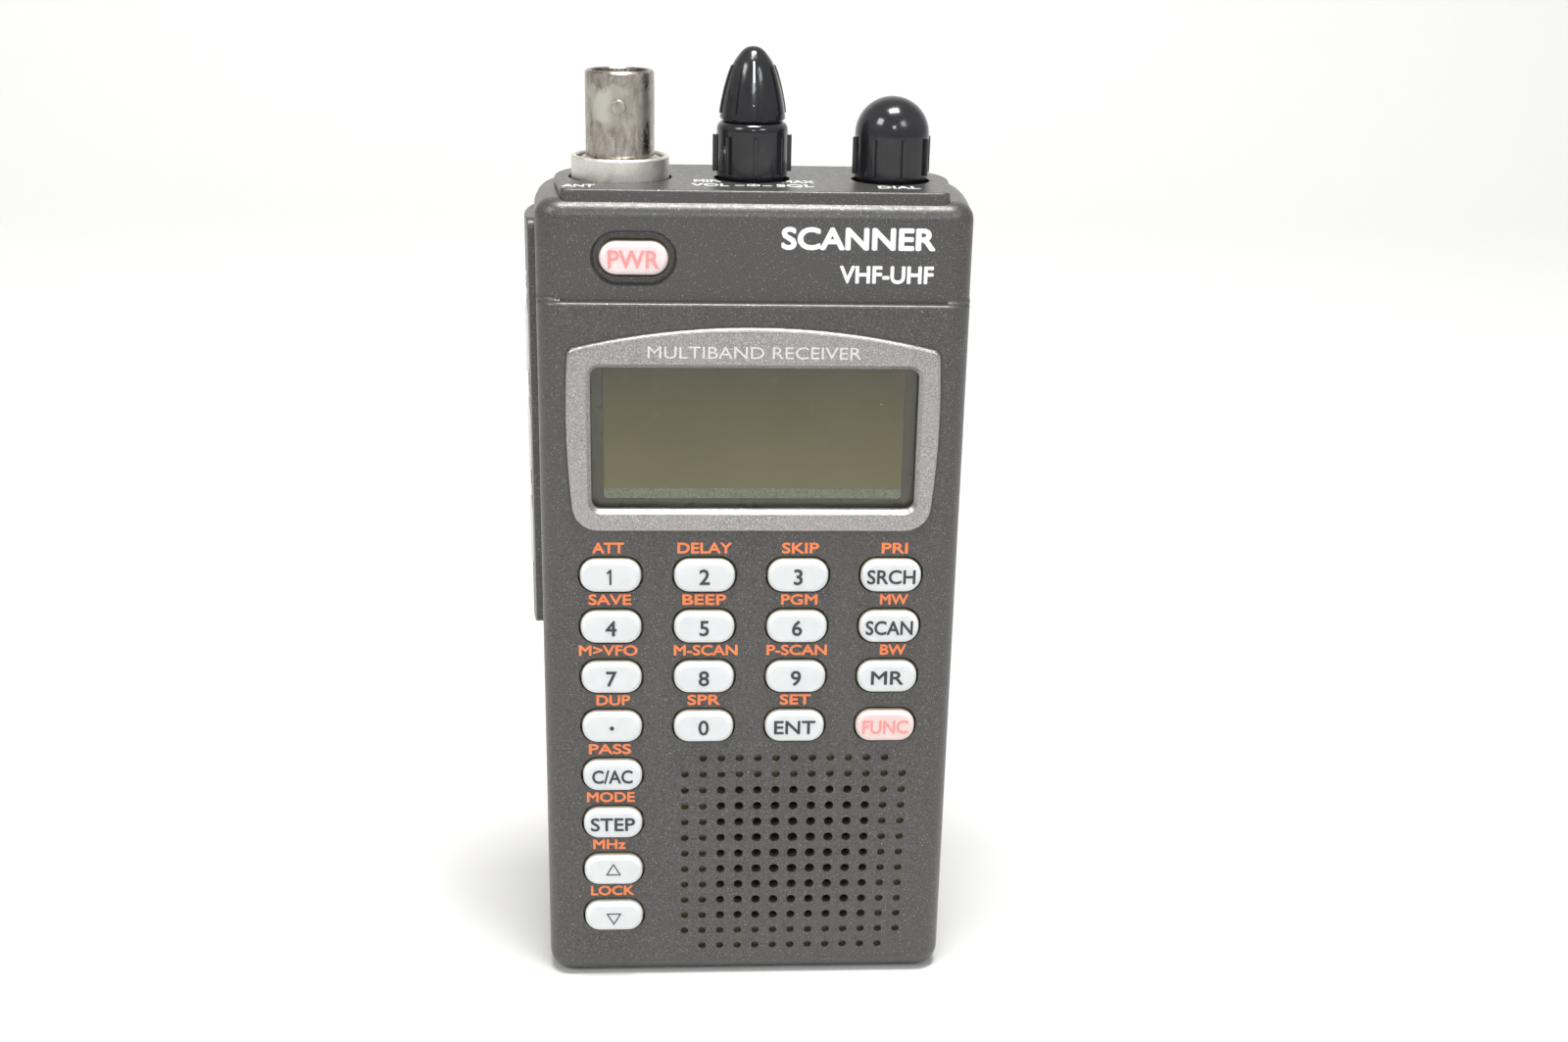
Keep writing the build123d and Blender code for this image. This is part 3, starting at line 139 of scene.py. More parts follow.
# ------------------------------------------------------------------ node materials
class Finish:
    """One node material and the calls that add its nodes. Sizes are in millimetres on the object."""

    def __init__(self, name, **sockets):
        self.material = bpy.data.materials.new(name)
        self.material.use_nodes = True
        self.tree = self.material.node_tree
        self.tree.nodes.clear()
        output = self.node("ShaderNodeOutputMaterial")
        self.shader = self.node("ShaderNodeBsdfPrincipled")
        self.surface = output.inputs["Surface"]
        self.tree.links.new(self.shader.outputs[0], self.surface)
        self.place = self.node("ShaderNodeTexCoord").outputs["Object"]
        for socket, value in sockets.items():
            self.shader.inputs[socket.replace("_", " ")].default_value = value

    def node(self, kind, **settings):
        made = self.tree.nodes.new(kind)
        for name, value in settings.items():
            setattr(made, name, value)
        return made

    def feed(self, socket, value):
        """Puts a number, a colour or another node's output into a socket."""
        if isinstance(value, bpy.types.NodeSocket):
            self.tree.links.new(value, socket)
        elif isinstance(value, tuple):
            socket.default_value = (*value, 1) if len(socket.default_value) == 4 else value
        else:
            socket.default_value = value

    def spread(self, stretch):
        """The object's coordinates, squeezed along each axis so that a pattern runs long there."""
        mapping = self.node("ShaderNodeMapping")
        self.feed(mapping.inputs["Vector"], self.place)
        mapping.inputs["Scale"].default_value = stretch
        return mapping.outputs[0]

    def noise(self, size, detail=2.0, rough=0.5, stretch=None):
        made = self.node("ShaderNodeTexNoise")
        self.feed(made.inputs["Vector"], self.spread(stretch) if stretch else self.place)
        made.inputs["Scale"].default_value = 1 / (size * MM)
        made.inputs["Detail"].default_value = detail
        made.inputs["Roughness"].default_value = rough
        return made.outputs[0]

    def cells(self, size):
        """Each cell's distance from its middle and its own random number."""
        made = self.node("ShaderNodeTexVoronoi")
        self.feed(made.inputs["Vector"], self.place)
        made.inputs["Scale"].default_value = 1 / (size * MM)
        split = self.node("ShaderNodeSeparateColor")
        self.feed(split.inputs[0], made.outputs["Color"])
        return made.outputs["Distance"], split.outputs[0]

    def specks(self, size, share, radius=0.3):
        """Scattered dots: one in the given share of the cells."""
        distance, chance = self.cells(size)
        dot = self.ramp(distance, radius, radius * 0.6)
        return self.maths("MULTIPLY", dot, self.ramp(chance, 1 - share - 0.01, 1 - share + 0.01))

    def ramp(self, value, start, end, low=0.0, high=1.0):
        """low before start and high past end, with a straight run between."""
        made = self.node("ShaderNodeMapRange")
        for socket, put in zip(made.inputs[:5], (value, start, end, low, high)):
            self.feed(socket, put)
        return made.outputs[0]

    def maths(self, operation, a, b=0.0):
        made = self.node("ShaderNodeMath", operation=operation)
        self.feed(made.inputs[0], a)
        self.feed(made.inputs[1], b)
        return made.outputs[0]

    def blend(self, amount, a, b):
        """A colour between a and b."""
        made = self.node("ShaderNodeMix", data_type="RGBA")
        self.feed(made.inputs["Factor"], amount)
        self.feed(made.inputs[6], a)
        self.feed(made.inputs[7], b)
        return made.outputs[2]

    def axis(self, name):
        """The place along one of the object's axes, in millimetres."""
        split = self.node("ShaderNodeSeparateXYZ")
        self.feed(split.inputs[0], self.place)
        return self.maths("MULTIPLY", split.outputs[name], 1 / MM)

    def between(self, name, low, high, soft=0.1):
        """1 between two places along an axis, and 0 outside."""
        place = self.axis(name)
        above = self.ramp(place, low - soft, low + soft)
        return self.maths("MULTIPLY", above, self.ramp(place, high + soft, high - soft))

    def colour(self, value):
        self.feed(self.shader.inputs["Base Color"], value)

    def rough(self, value):
        self.feed(self.shader.inputs["Roughness"], value)

    def metal(self, value):
        self.feed(self.shader.inputs["Metallic"], value)

    def bump(self, height, depth, strength=1.0):
        made = self.node("ShaderNodeBump")
        self.feed(made.inputs["Height"], height)
        made.inputs["Distance"].default_value = depth * MM
        made.inputs["Strength"].default_value = strength
        self.feed(self.shader.inputs["Normal"], made.outputs[0])


FACE_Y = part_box("front_case")[0].y / MM
KEYPAD_TOP = 73.0             # below it, the face's holes gather dust
DUST = (0.20, 0.155, 0.085)


def case_paint():
    """Charcoal paint with fine metallic flecks, a few dust specks, and grime down in the holes."""
    f = Finish("charcoal_paint")
    grain = f.ramp(f.noise(0.20, 3, 0.7), 0.36, 0.64)
    base = f.blend(grain, (0.045, 0.043, 0.041), (0.120, 0.117, 0.114))
    base = f.blend(f.ramp(f.noise(26, 2), 0.3, 0.7, 0.0, 0.35), base, (0.100, 0.093, 0.084))
    fleck = f.specks(0.25, 0.16, 0.30)
    base = f.blend(fleck, base, (0.36, 0.36, 0.365))
    base = f.blend(f.specks(5.0, 0.35, 0.022), base, (0.62, 0.61, 0.57))
    depth = f.ramp(f.axis("Y"), FACE_Y + 0.15, FACE_Y + 0.7)
    low = f.ramp(f.axis("Z"), KEYPAD_TOP + 1, KEYPAD_TOP)
    inside = f.ramp(f.axis("Y"), FACE_Y + 3.2, FACE_Y + 2.6)
    hole = f.maths("MULTIPLY", f.maths("MULTIPLY", depth, low), inside)
    in_face = f.maths("MULTIPLY", f.between("X", -27, 27), f.between("Z", 3.2, KEYPAD_TOP))
    patches = f.ramp(f.noise(1.7, 3), 0.35, 0.62, 0.15, 0.95)
    grime = f.maths("MULTIPLY", f.maths("MULTIPLY", hole, in_face), patches)
    f.colour(f.blend(grime, base, DUST))
    f.metal(f.ramp(fleck, 0, 1, 0.35, 0.85))
    f.rough(f.ramp(f.noise(0.9, 4), 0.3, 0.7, 0.29, 0.40))
    f.bump(f.noise(0.15, 3, 0.6), 0.014)
    return f.material


def silver_paint():
    """Satin silver with a close sparkle, a little warmer where hands have rubbed it."""
    f = Finish("silver_paint")
    base = f.blend(f.ramp(f.noise(0.2, 2, 0.7), 0.3, 0.7), (0.17, 0.162, 0.160), (0.54, 0.53, 0.53))
    base = f.blend(f.specks(0.26, 0.2, 0.3), base, (0.92, 0.92, 0.94))
    base = f.blend(f.ramp(f.noise(14, 3), 0.42, 0.7, 0.0, 0.5), base, (0.40, 0.365, 0.345))
    f.colour(base)
    f.metal(0.82)
    f.rough(f.ramp(f.noise(0.5, 3), 0.3, 0.7, 0.28, 0.42))
    f.bump(f.noise(0.14, 2, 0.7), 0.014)
    return f.material


def plain_metal(name, light, dark, rough, grain=0.5, stretch=None, patina=None):
    """Metal with grain, a soft mottle and, if asked, a pale patchy deposit."""
    f = Finish(name, Metallic=1.0)
    base = f.blend(f.ramp(f.noise(grain, 4, 0.6, stretch), 0.3, 0.7), dark, light)
    blur = f.ramp(f.noise(grain * 3, 3), 0.3, 0.7, rough - 0.07, rough + 0.09)
    if patina:
        low, high, tint = patina
        ragged = f.maths("ADD", f.axis("Z"), f.ramp(f.noise(2.2, 5, 0.65), 0, 1, -2.6, 2.6))
        patch = f.maths("MULTIPLY", f.ramp(ragged, low, low + 1.0), f.ramp(ragged, high, high - 1.2))
        patch = f.maths("MULTIPLY", patch, f.ramp(f.noise(5.0, 3), 0.42, 0.58, 0.25, 1.0))
        spots = f.ramp(f.noise(0.9, 6, 0.75), 0.56, 0.68, 0.0, 0.6)
        patch = f.maths("MAXIMUM", patch, spots)
        base = f.blend(patch, base, tint)
        blur = f.maths("ADD", blur, f.maths("MULTIPLY", patch, 0.28))
        f.metal(f.ramp(patch, 0, 1, 1.0, 0.35))
    f.colour(base)
    f.rough(blur)
    f.bump(f.noise(grain * 0.6, 3, 0.6, stretch), 0.004)
    return f.material


def moulded(name, dark, light, rough, grain=0.5, dust=0.0, **sockets):
    """Moulded or pressed material with a fine grain and uneven gloss."""
    f = Finish(name, **sockets)
    base = f.blend(f.ramp(f.noise(grain * 6, 3), 0.3, 0.7), dark, light)
    if dust:
        base = f.blend(f.specks(1.6, dust, 0.09), base, (0.6, 0.6, 0.58))
    f.colour(base)
    f.rough(f.ramp(f.noise(grain * 4, 3), 0.3, 0.7, rough - 0.05, rough + 0.08))
    f.bump(f.noise(grain, 3), 0.006)
    return f.material


def key_rubber(name, tint, edge, face_axis, face, back):
    """Milky silicone: bluish white on the face, and darker and browner down the sides towards the case."""
    f = Finish(name, Subsurface_Weight=0.35, Subsurface_Scale=0.0012, IOR=1.41)
    f.shader.inputs["Subsurface Radius"].default_value = (1.0, 0.95, 0.85)
    down = f.ramp(f.axis(face_axis), face, back)
    body = f.blend(f.ramp(f.noise(1.8, 3), 0.35, 0.65), tint, tuple(c * 0.955 for c in tint))
    body = f.blend(f.specks(2.2, 0.25, 0.035), body, (0.45, 0.42, 0.36))
    f.colour(f.blend(f.maths("POWER", down, 1.4), body, edge))
    f.rough(f.ramp(f.noise(0.7, 3), 0.3, 0.7, 0.30, 0.42))
    f.bump(f.noise(0.35, 3), 0.006)
    return f.material


def display_glass_painted_shadow():
    """The switched-off liquid crystal cell behind its polariser: olive, with painted shade that darkens it
    towards the top in place of the bezel's shadow.
    """
    lo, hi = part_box("lcd_glass")
    f = Finish("display_glass_painted_shadow", Specular_IOR_Level=0.2)
    # painted shade: the colour runs darker towards the top, standing in for the bezel's shadow on the cell
    height = f.ramp(f.axis("Z"), lo.z / MM + 3, hi.z / MM - 1)
    base = f.blend(height, (0.430, 0.345, 0.140), (0.140, 0.105, 0.048))
    base = f.blend(f.ramp(f.noise(9, 2), 0.3, 0.7, 0, 0.3), base, (0.200, 0.158, 0.075))
    f.colour(base)
    f.rough(f.ramp(f.noise(3, 3), 0.3, 0.7, 0.2, 0.28))
    f.bump(f.noise(6, 1), 0.002)
    return f.material


def light_margin():
    """The strip of bare glass below the polariser, where the speckled light guide shows greenish."""
    f = Finish("light_margin")
    base = f.blend(f.ramp(f.noise(0.22, 3, 0.7), 0.35, 0.65), (0.26, 0.29, 0.19), (0.58, 0.62, 0.46))
    f.colour(f.blend(f.specks(0.4, 0.2, 0.3), base, (0.62, 0.66, 0.52)))
    f.rough(f.ramp(f.noise(0.5, 2), 0.3, 0.7, 0.35, 0.55))
    f.bump(f.noise(0.25, 2), 0.01)
    return f.material


def clear_window():
    """Clear acrylic: see-through face on, glossy at a slant, with fine scuffs and dust."""
    f = Finish("clear_window")
    dust = f.maths("MAXIMUM", f.specks(1.3, 0.06, 0.04), f.specks(3.1, 0.3, 0.03))
    right = f.ramp(f.axis("X"), 2, 18, 0.35, 1.0)
    dust = f.maths("MULTIPLY", dust, right)
    scuff = f.ramp(f.noise(6.0, 2, 0.5, (1.0, 1.0, 0.3)), 0.55, 0.8, 0.0, 0.02)
    haze = f.maths("MAXIMUM", dust, scuff)
    f.colour(f.blend(dust, (0.62, 0.62, 0.58), (0.86, 0.86, 0.80)))
    f.rough(f.ramp(haze, 0, 1, 0.03, 0.5))
    f.bump(f.noise(7, 1), 0.01)
    clear = f.node("ShaderNodeBsdfTransparent")
    clear.inputs[0].default_value = (0.93, 0.94, 0.90, 1)
    gloss = f.node("ShaderNodeBsdfGlossy")
    gloss.inputs["Roughness"].default_value = 0.0
    mirror = f.node("ShaderNodeFresnel")
    mirror.inputs["IOR"].default_value = 1.49
    pane = f.node("ShaderNodeMixShader")
    f.feed(pane.inputs[0], mirror.outputs[0])
    f.feed(pane.inputs[1], clear.outputs[0])
    f.feed(pane.inputs[2], gloss.outputs[0])
    coated = f.node("ShaderNodeMixShader")
    f.feed(coated.inputs[0], haze)
    f.feed(coated.inputs[1], pane.outputs[0])
    f.feed(coated.inputs[2], f.shader.outputs[0])
    f.feed(f.surface, coated.outputs[0])
    return f.material


def circuit_board():
    """Green solder mask over slightly raised traces."""
    f = Finish("circuit_board", Coat_Weight=0.3)
    trace = f.ramp(f.noise(1.4, 1, 0.5, (1.0, 1.0, 0.25)), 0.5, 0.52)
    f.colour(f.blend(trace, (0.012, 0.085, 0.035), (0.035, 0.17, 0.07)))
    f.rough(f.ramp(f.noise(2, 2), 0.3, 0.7, 0.35, 0.5))
    f.bump(trace, 0.03)
    return f.material


def printed_ink(name, tone):
    """Screen-printed ink, slightly thin and broken at a fine scale."""
    f = Finish(name)
    f.colour(f.blend(f.ramp(f.noise(0.28, 3), 0.3, 0.7), tone, tuple(c * 0.86 for c in tone)))
    f.rough(f.ramp(f.noise(0.6, 2), 0.3, 0.7, 0.42, 0.55))
    f.bump(f.noise(0.1, 2), 0.004)
    return f.material


KEY_WHITE = (0.69, 0.712, 0.712)
KEY_EDGE = (0.42, 0.37, 0.22)
KEY_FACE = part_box("key_5")[0].y / MM
POWER_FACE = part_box("power_key")[0].y / MM
SIDE_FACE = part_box("side_key_top")[0].x / MM


def slot_finishes():
    """The node material for each material slot of the record."""
    key_sides = (KEY_FACE + 0.25, FACE_Y + 0.25)
    return {
        "case_plastic": case_paint(),
        "bezel_silver": silver_paint(),
        "window_clear": clear_window(),
        "lcd_glass": display_glass_painted_shadow(),
        "light_guide": light_margin(),
        "key_rubber": moulded("mat_rubber", (0.30, 0.30, 0.28), (0.36, 0.36, 0.33), 0.6),
        "key_translucent": key_rubber("milky_rubber", KEY_WHITE, KEY_EDGE, "Y", *key_sides),
        "key_red_marked": key_rubber("warm_rubber", (0.78, 0.62, 0.60), KEY_EDGE, "Y", *key_sides),
        "switch_plastic": moulded("switch_plastic", (0.03, 0.03, 0.03), (0.05, 0.05, 0.05), 0.45),
        "circuit_board": circuit_board(),
        "tin_plate": plain_metal("tin_plate", (0.72, 0.72, 0.70), (0.55, 0.55, 0.54), 0.28, 1.2),
        "screw_steel": plain_metal("screw_steel", (0.62, 0.61, 0.58), (0.42, 0.41, 0.40), 0.3, 0.3),
        "screw_black": plain_metal("screw_black", (0.055, 0.055, 0.06), (0.025, 0.025, 0.027), 0.38,
                                   0.3),
        "pressed_steel": plain_metal("pressed_steel", (0.52, 0.52, 0.50), (0.38, 0.38, 0.37), 0.35, 0.8),
        "magnet": plain_metal("magnet", (0.20, 0.20, 0.21), (0.12, 0.12, 0.125), 0.45, 0.6),
        "paper_cone": moulded("paper_cone", (0.022, 0.021, 0.020), (0.045, 0.042, 0.038), 0.85, 0.25),
        "worn_nickel": plain_metal("worn_nickel", (0.56, 0.52, 0.47), (0.26, 0.22, 0.19), 0.24, 0.7,
                                   (1.0, 1.0, 0.35), (127.5, 133.5, (0.50, 0.48, 0.42))),
        "collar_metal": plain_metal("collar_metal", (0.90, 0.88, 0.82), (0.76, 0.74, 0.68), 0.42, 0.35,
                                    patina=(116, 119.5, (0.60, 0.57, 0.49))),
        "dielectric": moulded("dielectric", (0.78, 0.76, 0.70), (0.84, 0.83, 0.79), 0.4),
        "gold_contact": plain_metal("gold_contact", (0.94, 0.72, 0.30), (0.80, 0.56, 0.20), 0.22, 0.3),
        "control_metal": plain_metal("control_metal", (0.60, 0.60, 0.58), (0.45, 0.45, 0.44), 0.34, 0.5),
        "nut_nickel": plain_metal("nut_nickel", (0.66, 0.65, 0.62), (0.48, 0.47, 0.45), 0.28, 0.4),
        "knob_black": moulded("knob_black", (0.011, 0.011, 0.013), (0.020, 0.020, 0.023), 0.17, 0.8,
                              0.12, Coat_Weight=0.25, Coat_Roughness=0.08),
        "shaft_brass": plain_metal("shaft_brass", (0.80, 0.60, 0.30), (0.62, 0.44, 0.20), 0.28, 0.4),
        "jack_plastic": moulded("jack_plastic", (0.016, 0.016, 0.017), (0.03, 0.03, 0.031), 0.38),
        "cell_sleeve": moulded("cell_sleeve", (0.06, 0.065, 0.07), (0.09, 0.095, 0.10), 0.3),
        "contact_nickel": plain_metal("contact_nickel", (0.70, 0.69, 0.66), (0.52, 0.51, 0.49), 0.24,
                                      0.4),
    }


def dress_cad_nodes(finishes):
    """Puts each CAD node in its slot's material. The side keys and the power key have rubber of their own."""
    side_rubber = key_rubber("side_rubber", (0.70, 0.71, 0.69), (0.50, 0.46, 0.34), "X",
                             SIDE_FACE + 0.6, SIDE_FACE + 1.6)
    power_rubber = key_rubber("power_rubber", (0.82, 0.69, 0.69), KEY_EDGE, "Y",
                              POWER_FACE + 0.7, POWER_FACE + 1.3)
    for name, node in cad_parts.items():
        slots = node.data.materials
        for index, old in enumerate(slots):
            slots[index] = finishes[old.name.split(".")[0]]
        if name.startswith("side_key"):
            slots[0] = side_rubber
        if name == "power_key":
            slots[0] = power_rubber


# ------------------------------------------------------------------ piece helpers
FACING = {
    "front": Matrix(((1, 0, 0), (0, 0, -1), (0, 1, 0))),
    "top": Matrix(((1, 0, 0), (0, 1, 0), (0, 0, 1))),
    "left": Matrix(((0, 0, -1), (-1, 0, 0), (0, 1, 0))),
}


def surface_of(node):
    """A CAD node's surface, for laying print on it."""
    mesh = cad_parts[node].data
    faces = [tuple(p.vertices) for p in mesh.polygons]
    return BVHTree.FromPolygons([v.co.copy() for v in mesh.vertices], faces)


def piece(name, body, shape, material):
    """A new object from a bmesh in the row frame, which rides on a body."""
    mesh = bpy.data.meshes.new(name)
    shape.to_mesh(mesh)
    shape.free()
    mesh.materials.append(material)
    made = bpy.data.objects.new(name, mesh)
    MODEL.objects.link(made)
    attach(made, body)
    return made


CAP_HEIGHT = 0.682            # of a capital in the built-in typeface, for a size of 1
INK = 0.03                    # how far print stands off its surface
HAIR = 0.0015                 # between the layers of one bold letter
RAY_START = 0.3               # in metres, so well outside the object


def line_of_type(words):
    """The mesh of one line of lettering at size 1."""
    curve = bpy.data.curves.new("type", "FONT")
    curve.body = words
    curve.resolution_u = 4
    holder = bpy.data.objects.new("type", curve)
    MODEL.objects.link(holder)
    bpy.context.view_layer.update()
    mesh = bpy.data.meshes.new_from_object(holder)
    bpy.data.objects.remove(holder)
    bpy.data.curves.remove(curve)
    return mesh


def lettering(words, height, width=None, bold=0.0):
    """Flat lettering centred on the origin, of the given capital height and width.
    Bold letters are the same outline laid down round a small circle, each a hair higher."""
    mesh = line_of_type(words)
    shape = bmesh.new()
    shifts = regular(8, bold) if bold else [(0, 0)]
    xs = [v.co.x for v in mesh.vertices]
    grow = (height - 2 * bold) / CAP_HEIGHT
    across = (width - 2 * bold) / (max(xs) - min(xs)) if width else grow
    middle = (max(xs) + min(xs)) / 2
    for layer, (dx, dy) in enumerate(shifts):
        copy = mesh.copy()
        for v in copy.vertices:
            x = (v.co.x - middle) * across + dx
            v.co = Vector((x, (v.co.y - CAP_HEIGHT / 2) * grow + dy, layer * HAIR))
        shape.from_mesh(copy)
        bpy.data.meshes.remove(copy)
    bpy.data.meshes.remove(mesh)
    return shape


def ring_outline(outer, inner):
    """A flat band between two outlines that have the same number of points."""
    shape = bmesh.new()
    a = [shape.verts.new((x, y, 0)) for x, y in outer]
    b = [shape.verts.new((x, y, 0)) for x, y in inner]
    for i in range(len(a)):
        j = (i + 1) % len(a)
        shape.faces.new((a[i], a[j], b[j], b[i]))
    return shape


def regular(sides, radius, turn=0.0):
    """The corners of a regular polygon."""
    angles = [turn + math.tau * i / sides for i in range(sides)]
    return [(radius * math.cos(angle), radius * math.sin(angle)) for angle in angles]


def flat_face(outline):
    """A flat bmesh with one face."""
    shape = bmesh.new()
    shape.faces.new([shape.verts.new((x, y, 0)) for x, y in outline])
    return shape


def dot(radius):
    """A small flat disc."""
    return flat_face(regular(20, radius))


def figure_one(height):
    """A figure 1 with a flag."""
    half, stem = height / 2, 0.15
    outline = [(stem, -half), (stem, half), (-0.04, half), (-0.5, half * 0.62), (-0.5, half * 0.36),
               (-stem, half * 0.56), (-stem, -half)]
    return flat_face(reversed(outline))


def triangle(side, line, turn):
    """An outlined triangle."""
    radius = side / math.sqrt(3)
    return ring_outline(regular(3, radius, turn), regular(3, radius - 2 * line, turn))


def printed(name, body, material, facing, node, marks, proud=INK):
    """Marks laid on a CAD node's surface as one piece of solid print.
    Each mark is (bmesh, x, y) on the facing plane."""
    turn = FACING[facing].to_4x4()
    normal = (FACING[facing] @ Vector((0, 0, 1))).normalized()
    surface = surface_of(node)
    whole = bmesh.new()
    for mark, x, y in marks:
        mark.transform(Matrix.Translation((x, y, 0)))
        mark.transform(Matrix.Scale(MM, 4))
        mark.transform(turn)
        part = bpy.data.meshes.new("mark")
        mark.to_mesh(part)
        mark.free()
        whole.from_mesh(part)
        bpy.data.meshes.remove(part)
    bmesh.ops.triangulate(whole, faces=whole.faces)
    bmesh.ops.recalc_face_normals(whole, faces=whole.faces)
    for v in whole.verts:
        lift = normal.dot(v.co)
        hit = surface.ray_cast(v.co + normal * RAY_START, -normal)[0]
        if hit:
            v.co = hit + normal * (lift - INK * MM / 2)
    grown = bmesh.ops.extrude_face_region(whole, geom=list(whole.faces))
    for v in [g for g in grown["geom"] if isinstance(g, bmesh.types.BMVert)]:
        v.co += normal * (proud + INK / 2) * MM
    bmesh.ops.recalc_face_normals(whole, faces=whole.faces)
    return piece(name, body, whole, material)


def centre_of(node):
    lo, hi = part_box(node)
    return (lo + hi) / 2 / MM


# ------------------------------------------------------------------ legends
# Each key: what is printed on it, its width, then what is printed above it, its width and its shift
# to the right.
KEYPAD = {
    "key_1": ("1", None, "ATT", 4.55, -0.3),
    "key_2": ("2", None, "DELAY", 7.8, 0.0),
    "key_3": ("3", None, "SKIP", 5.35, 0.3),
    "key_search": ("SRCH", 7.0, "PRI", 3.8, 0.45),
    "key_4": ("4", None, "SAVE", 6.15, -0.15),
    "key_5": ("5", None, "BEEP", 6.35, 0.0),
    "key_6": ("6", None, "PGM", 5.3, 0.3),
    "key_scan": ("SCAN", 6.9, "MW", 4.15, 0.65),
    "key_7": ("7", None, "M>VFO", 8.5, -0.45),
    "key_8": ("8", None, "M-SCAN", 9.3, 0.25),
    "key_9": ("9", None, "P-SCAN", 8.85, 0.1),
    "key_recall": ("MR", 4.8, "BW", 3.85, 0.8),
    "key_point": ("", None, "DUP", 4.95, 0.2),
    "key_0": ("0", None, "SPR", 4.8, 0.0),
    "key_enter": ("ENT", 6.1, "SET", 4.6, 0.05),
    "key_function": ("FUNC", 6.8, "", None, 0.0),
    "key_clear": ("C/AC", 6.0, "PASS", 6.25, -0.35),
    "key_step": ("STEP", 6.6, "MODE", 7.15, -0.3),
    "key_up": ("", None, "MHz", 4.9, -0.6),
    "key_down": ("", None, "LOCK", 6.55, -0.2),
}
DIGIT_HEIGHT = 2.35
WORD_HEIGHT = 2.15
KEY_PRINT_DROP = 0.05
LEGEND_HEIGHT = 1.65
LEGEND_RISE = 4.05
BOLD = 0.07
KEY_BOLD = 0.055
ARROW_SIDE = 2.3
ARROW_LINE = 0.17


def key_mark(name, words, width):
    """What is printed on one key."""
    if name == "key_point":
        return dot(0.33)
    if name == "key_1":
        return figure_one(DIGIT_HEIGHT)
    if name == "key_up":
        return triangle(ARROW_SIDE, ARROW_LINE, math.pi / 2)
    if name == "key_down":
        return triangle(ARROW_SIDE, ARROW_LINE, -math.pi / 2)
    return lettering(words, WORD_HEIGHT if width else DIGIT_HEIGHT, width, KEY_BOLD)


def print_keypad(grey, red, orange):
    """The marks on the keys and the orange legends above them."""
    above = []
    for name, (words, width, legend, legend_width, shift) in KEYPAD.items():
        middle = centre_of(name)
        mark = key_mark(name, words, width)
        ink, slot = (red, "key_red_marked") if name == "key_function" else (grey, "key_translucent")
        printed(f"print_{name}", f"{name}_body", ink, "front", name,
                [(mark, middle.x, middle.z - KEY_PRINT_DROP)])
        if legend:
            above.append((lettering(legend, LEGEND_HEIGHT, legend_width, BOLD), middle.x + shift,
                          middle.z + LEGEND_RISE))
    printed("legends_keypad", "case", orange, "front", "front_case", above)
    middle = centre_of("power_key")
    printed("print_power_key", "power_key_body", red, "front", "power_key",
            [(lettering("PWR", 2.45, 7.0, 0.06), middle.x, middle.z - 0.1)])


def print_case(white):
    """The white words on the brow and on the top panel."""
    brow = [
        (lettering("SCANNER", 3.1, 21.2, 0.16), 14.05, 114.3),
        (lettering("VHF-UHF", 2.45, 13.0, 0.10), 18.05, 109.4),
    ]
    printed("wording_brow", "case", white, "front", "front_case", brow)
    upper, lower = -3.2, -7.0
    height, bold = 2.2, 0.06
    row = [
        (lettering("ANT", height, 4.4, bold), -24.2, -9.2),
        (lettering("MIN", height, 3.8, bold), -6.5, upper),
        (dot(0.35), -3.2, upper),
        (dot(0.35), 2.8, upper),
        (lettering("MAX", height, 4.6, bold), 6.2, upper),
        (lettering("VOL", height, 5.2, bold), -6.2, lower),
        (lettering("-", height, 1.3, bold), -2.1, lower),
        (ring_outline(regular(24, 0.95), regular(24, 0.7)), -0.2, lower),
        (dot(0.3), -0.2, lower),
        (lettering("-", height, 1.3, bold), 1.7, lower),
        (lettering("SQL", height, 5.2, bold), 5.6, lower),
        (lettering("DIAL", height, 5.8, bold), 20.0, lower - 0.4),
    ]
    printed("wording_panel", "case", white, "top", "top_panel", row)


def print_side(white):
    """The words above the side keys, read from the left side."""
    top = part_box("side_key_top")[1].z / MM
    height, bold = 1.6, 0.05
    marks = [
        (lettering("KEY", height, 4.4, bold), 4.0, top + 3.6),
        (lettering("LAMP", height, 5.4, bold), 3.4, top + 1.2),
        (lettering("LOCK", height, 5.4, bold), 3.4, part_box("side_key_middle")[1].z / MM + 1.6),
        (lettering("MONI", height, 5.4, bold), 3.4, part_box("side_key_bottom")[1].z / MM + 1.1),
    ]
    printed("wording_side", "case", white, "left", "side_panel", marks, 0.06)


def raise_bezel_words(silver):
    """The line in relief above the display."""
    lo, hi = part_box("lcd_bezel")
    words = printed("wording_bezel", "case", silver, "front", "lcd_bezel",
                    [(lettering("MULTIBAND RECEIVER", 1.65, 29.5), (lo.x + hi.x) / 2 / MM, 98.75)], 0.12)
    bevel = words.modifiers.new("soft_edges", "BEVEL")
    bevel.width = 0.04 * MM
    bevel.segments = 2
    bevel.limit_method = "ANGLE"


def mark_volume_knob(white):
    """The thin white line on the front of the volume knob."""
    lo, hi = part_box("volume_knob")
    middle = (lo + hi) / 2 / MM
    shape = bmesh.new()
    half, rows = 0.13, 14
    low, high = hi.z / MM - 4.7, hi.z / MM - 1.9
    pairs = []
    for i in range(rows + 1):
        z = low + (high - low) * i / rows
        pairs.append([shape.verts.new((side * half, z, 0)) for side in (-1, 1)])
    for (a, b), (c, d) in zip(pairs, pairs[1:]):
        shape.faces.new((a, b, d, c))
    printed("volume_pointer", "volume_control", white, "front", "volume_knob",
            [(shape, middle.x, 0)], 0.05)


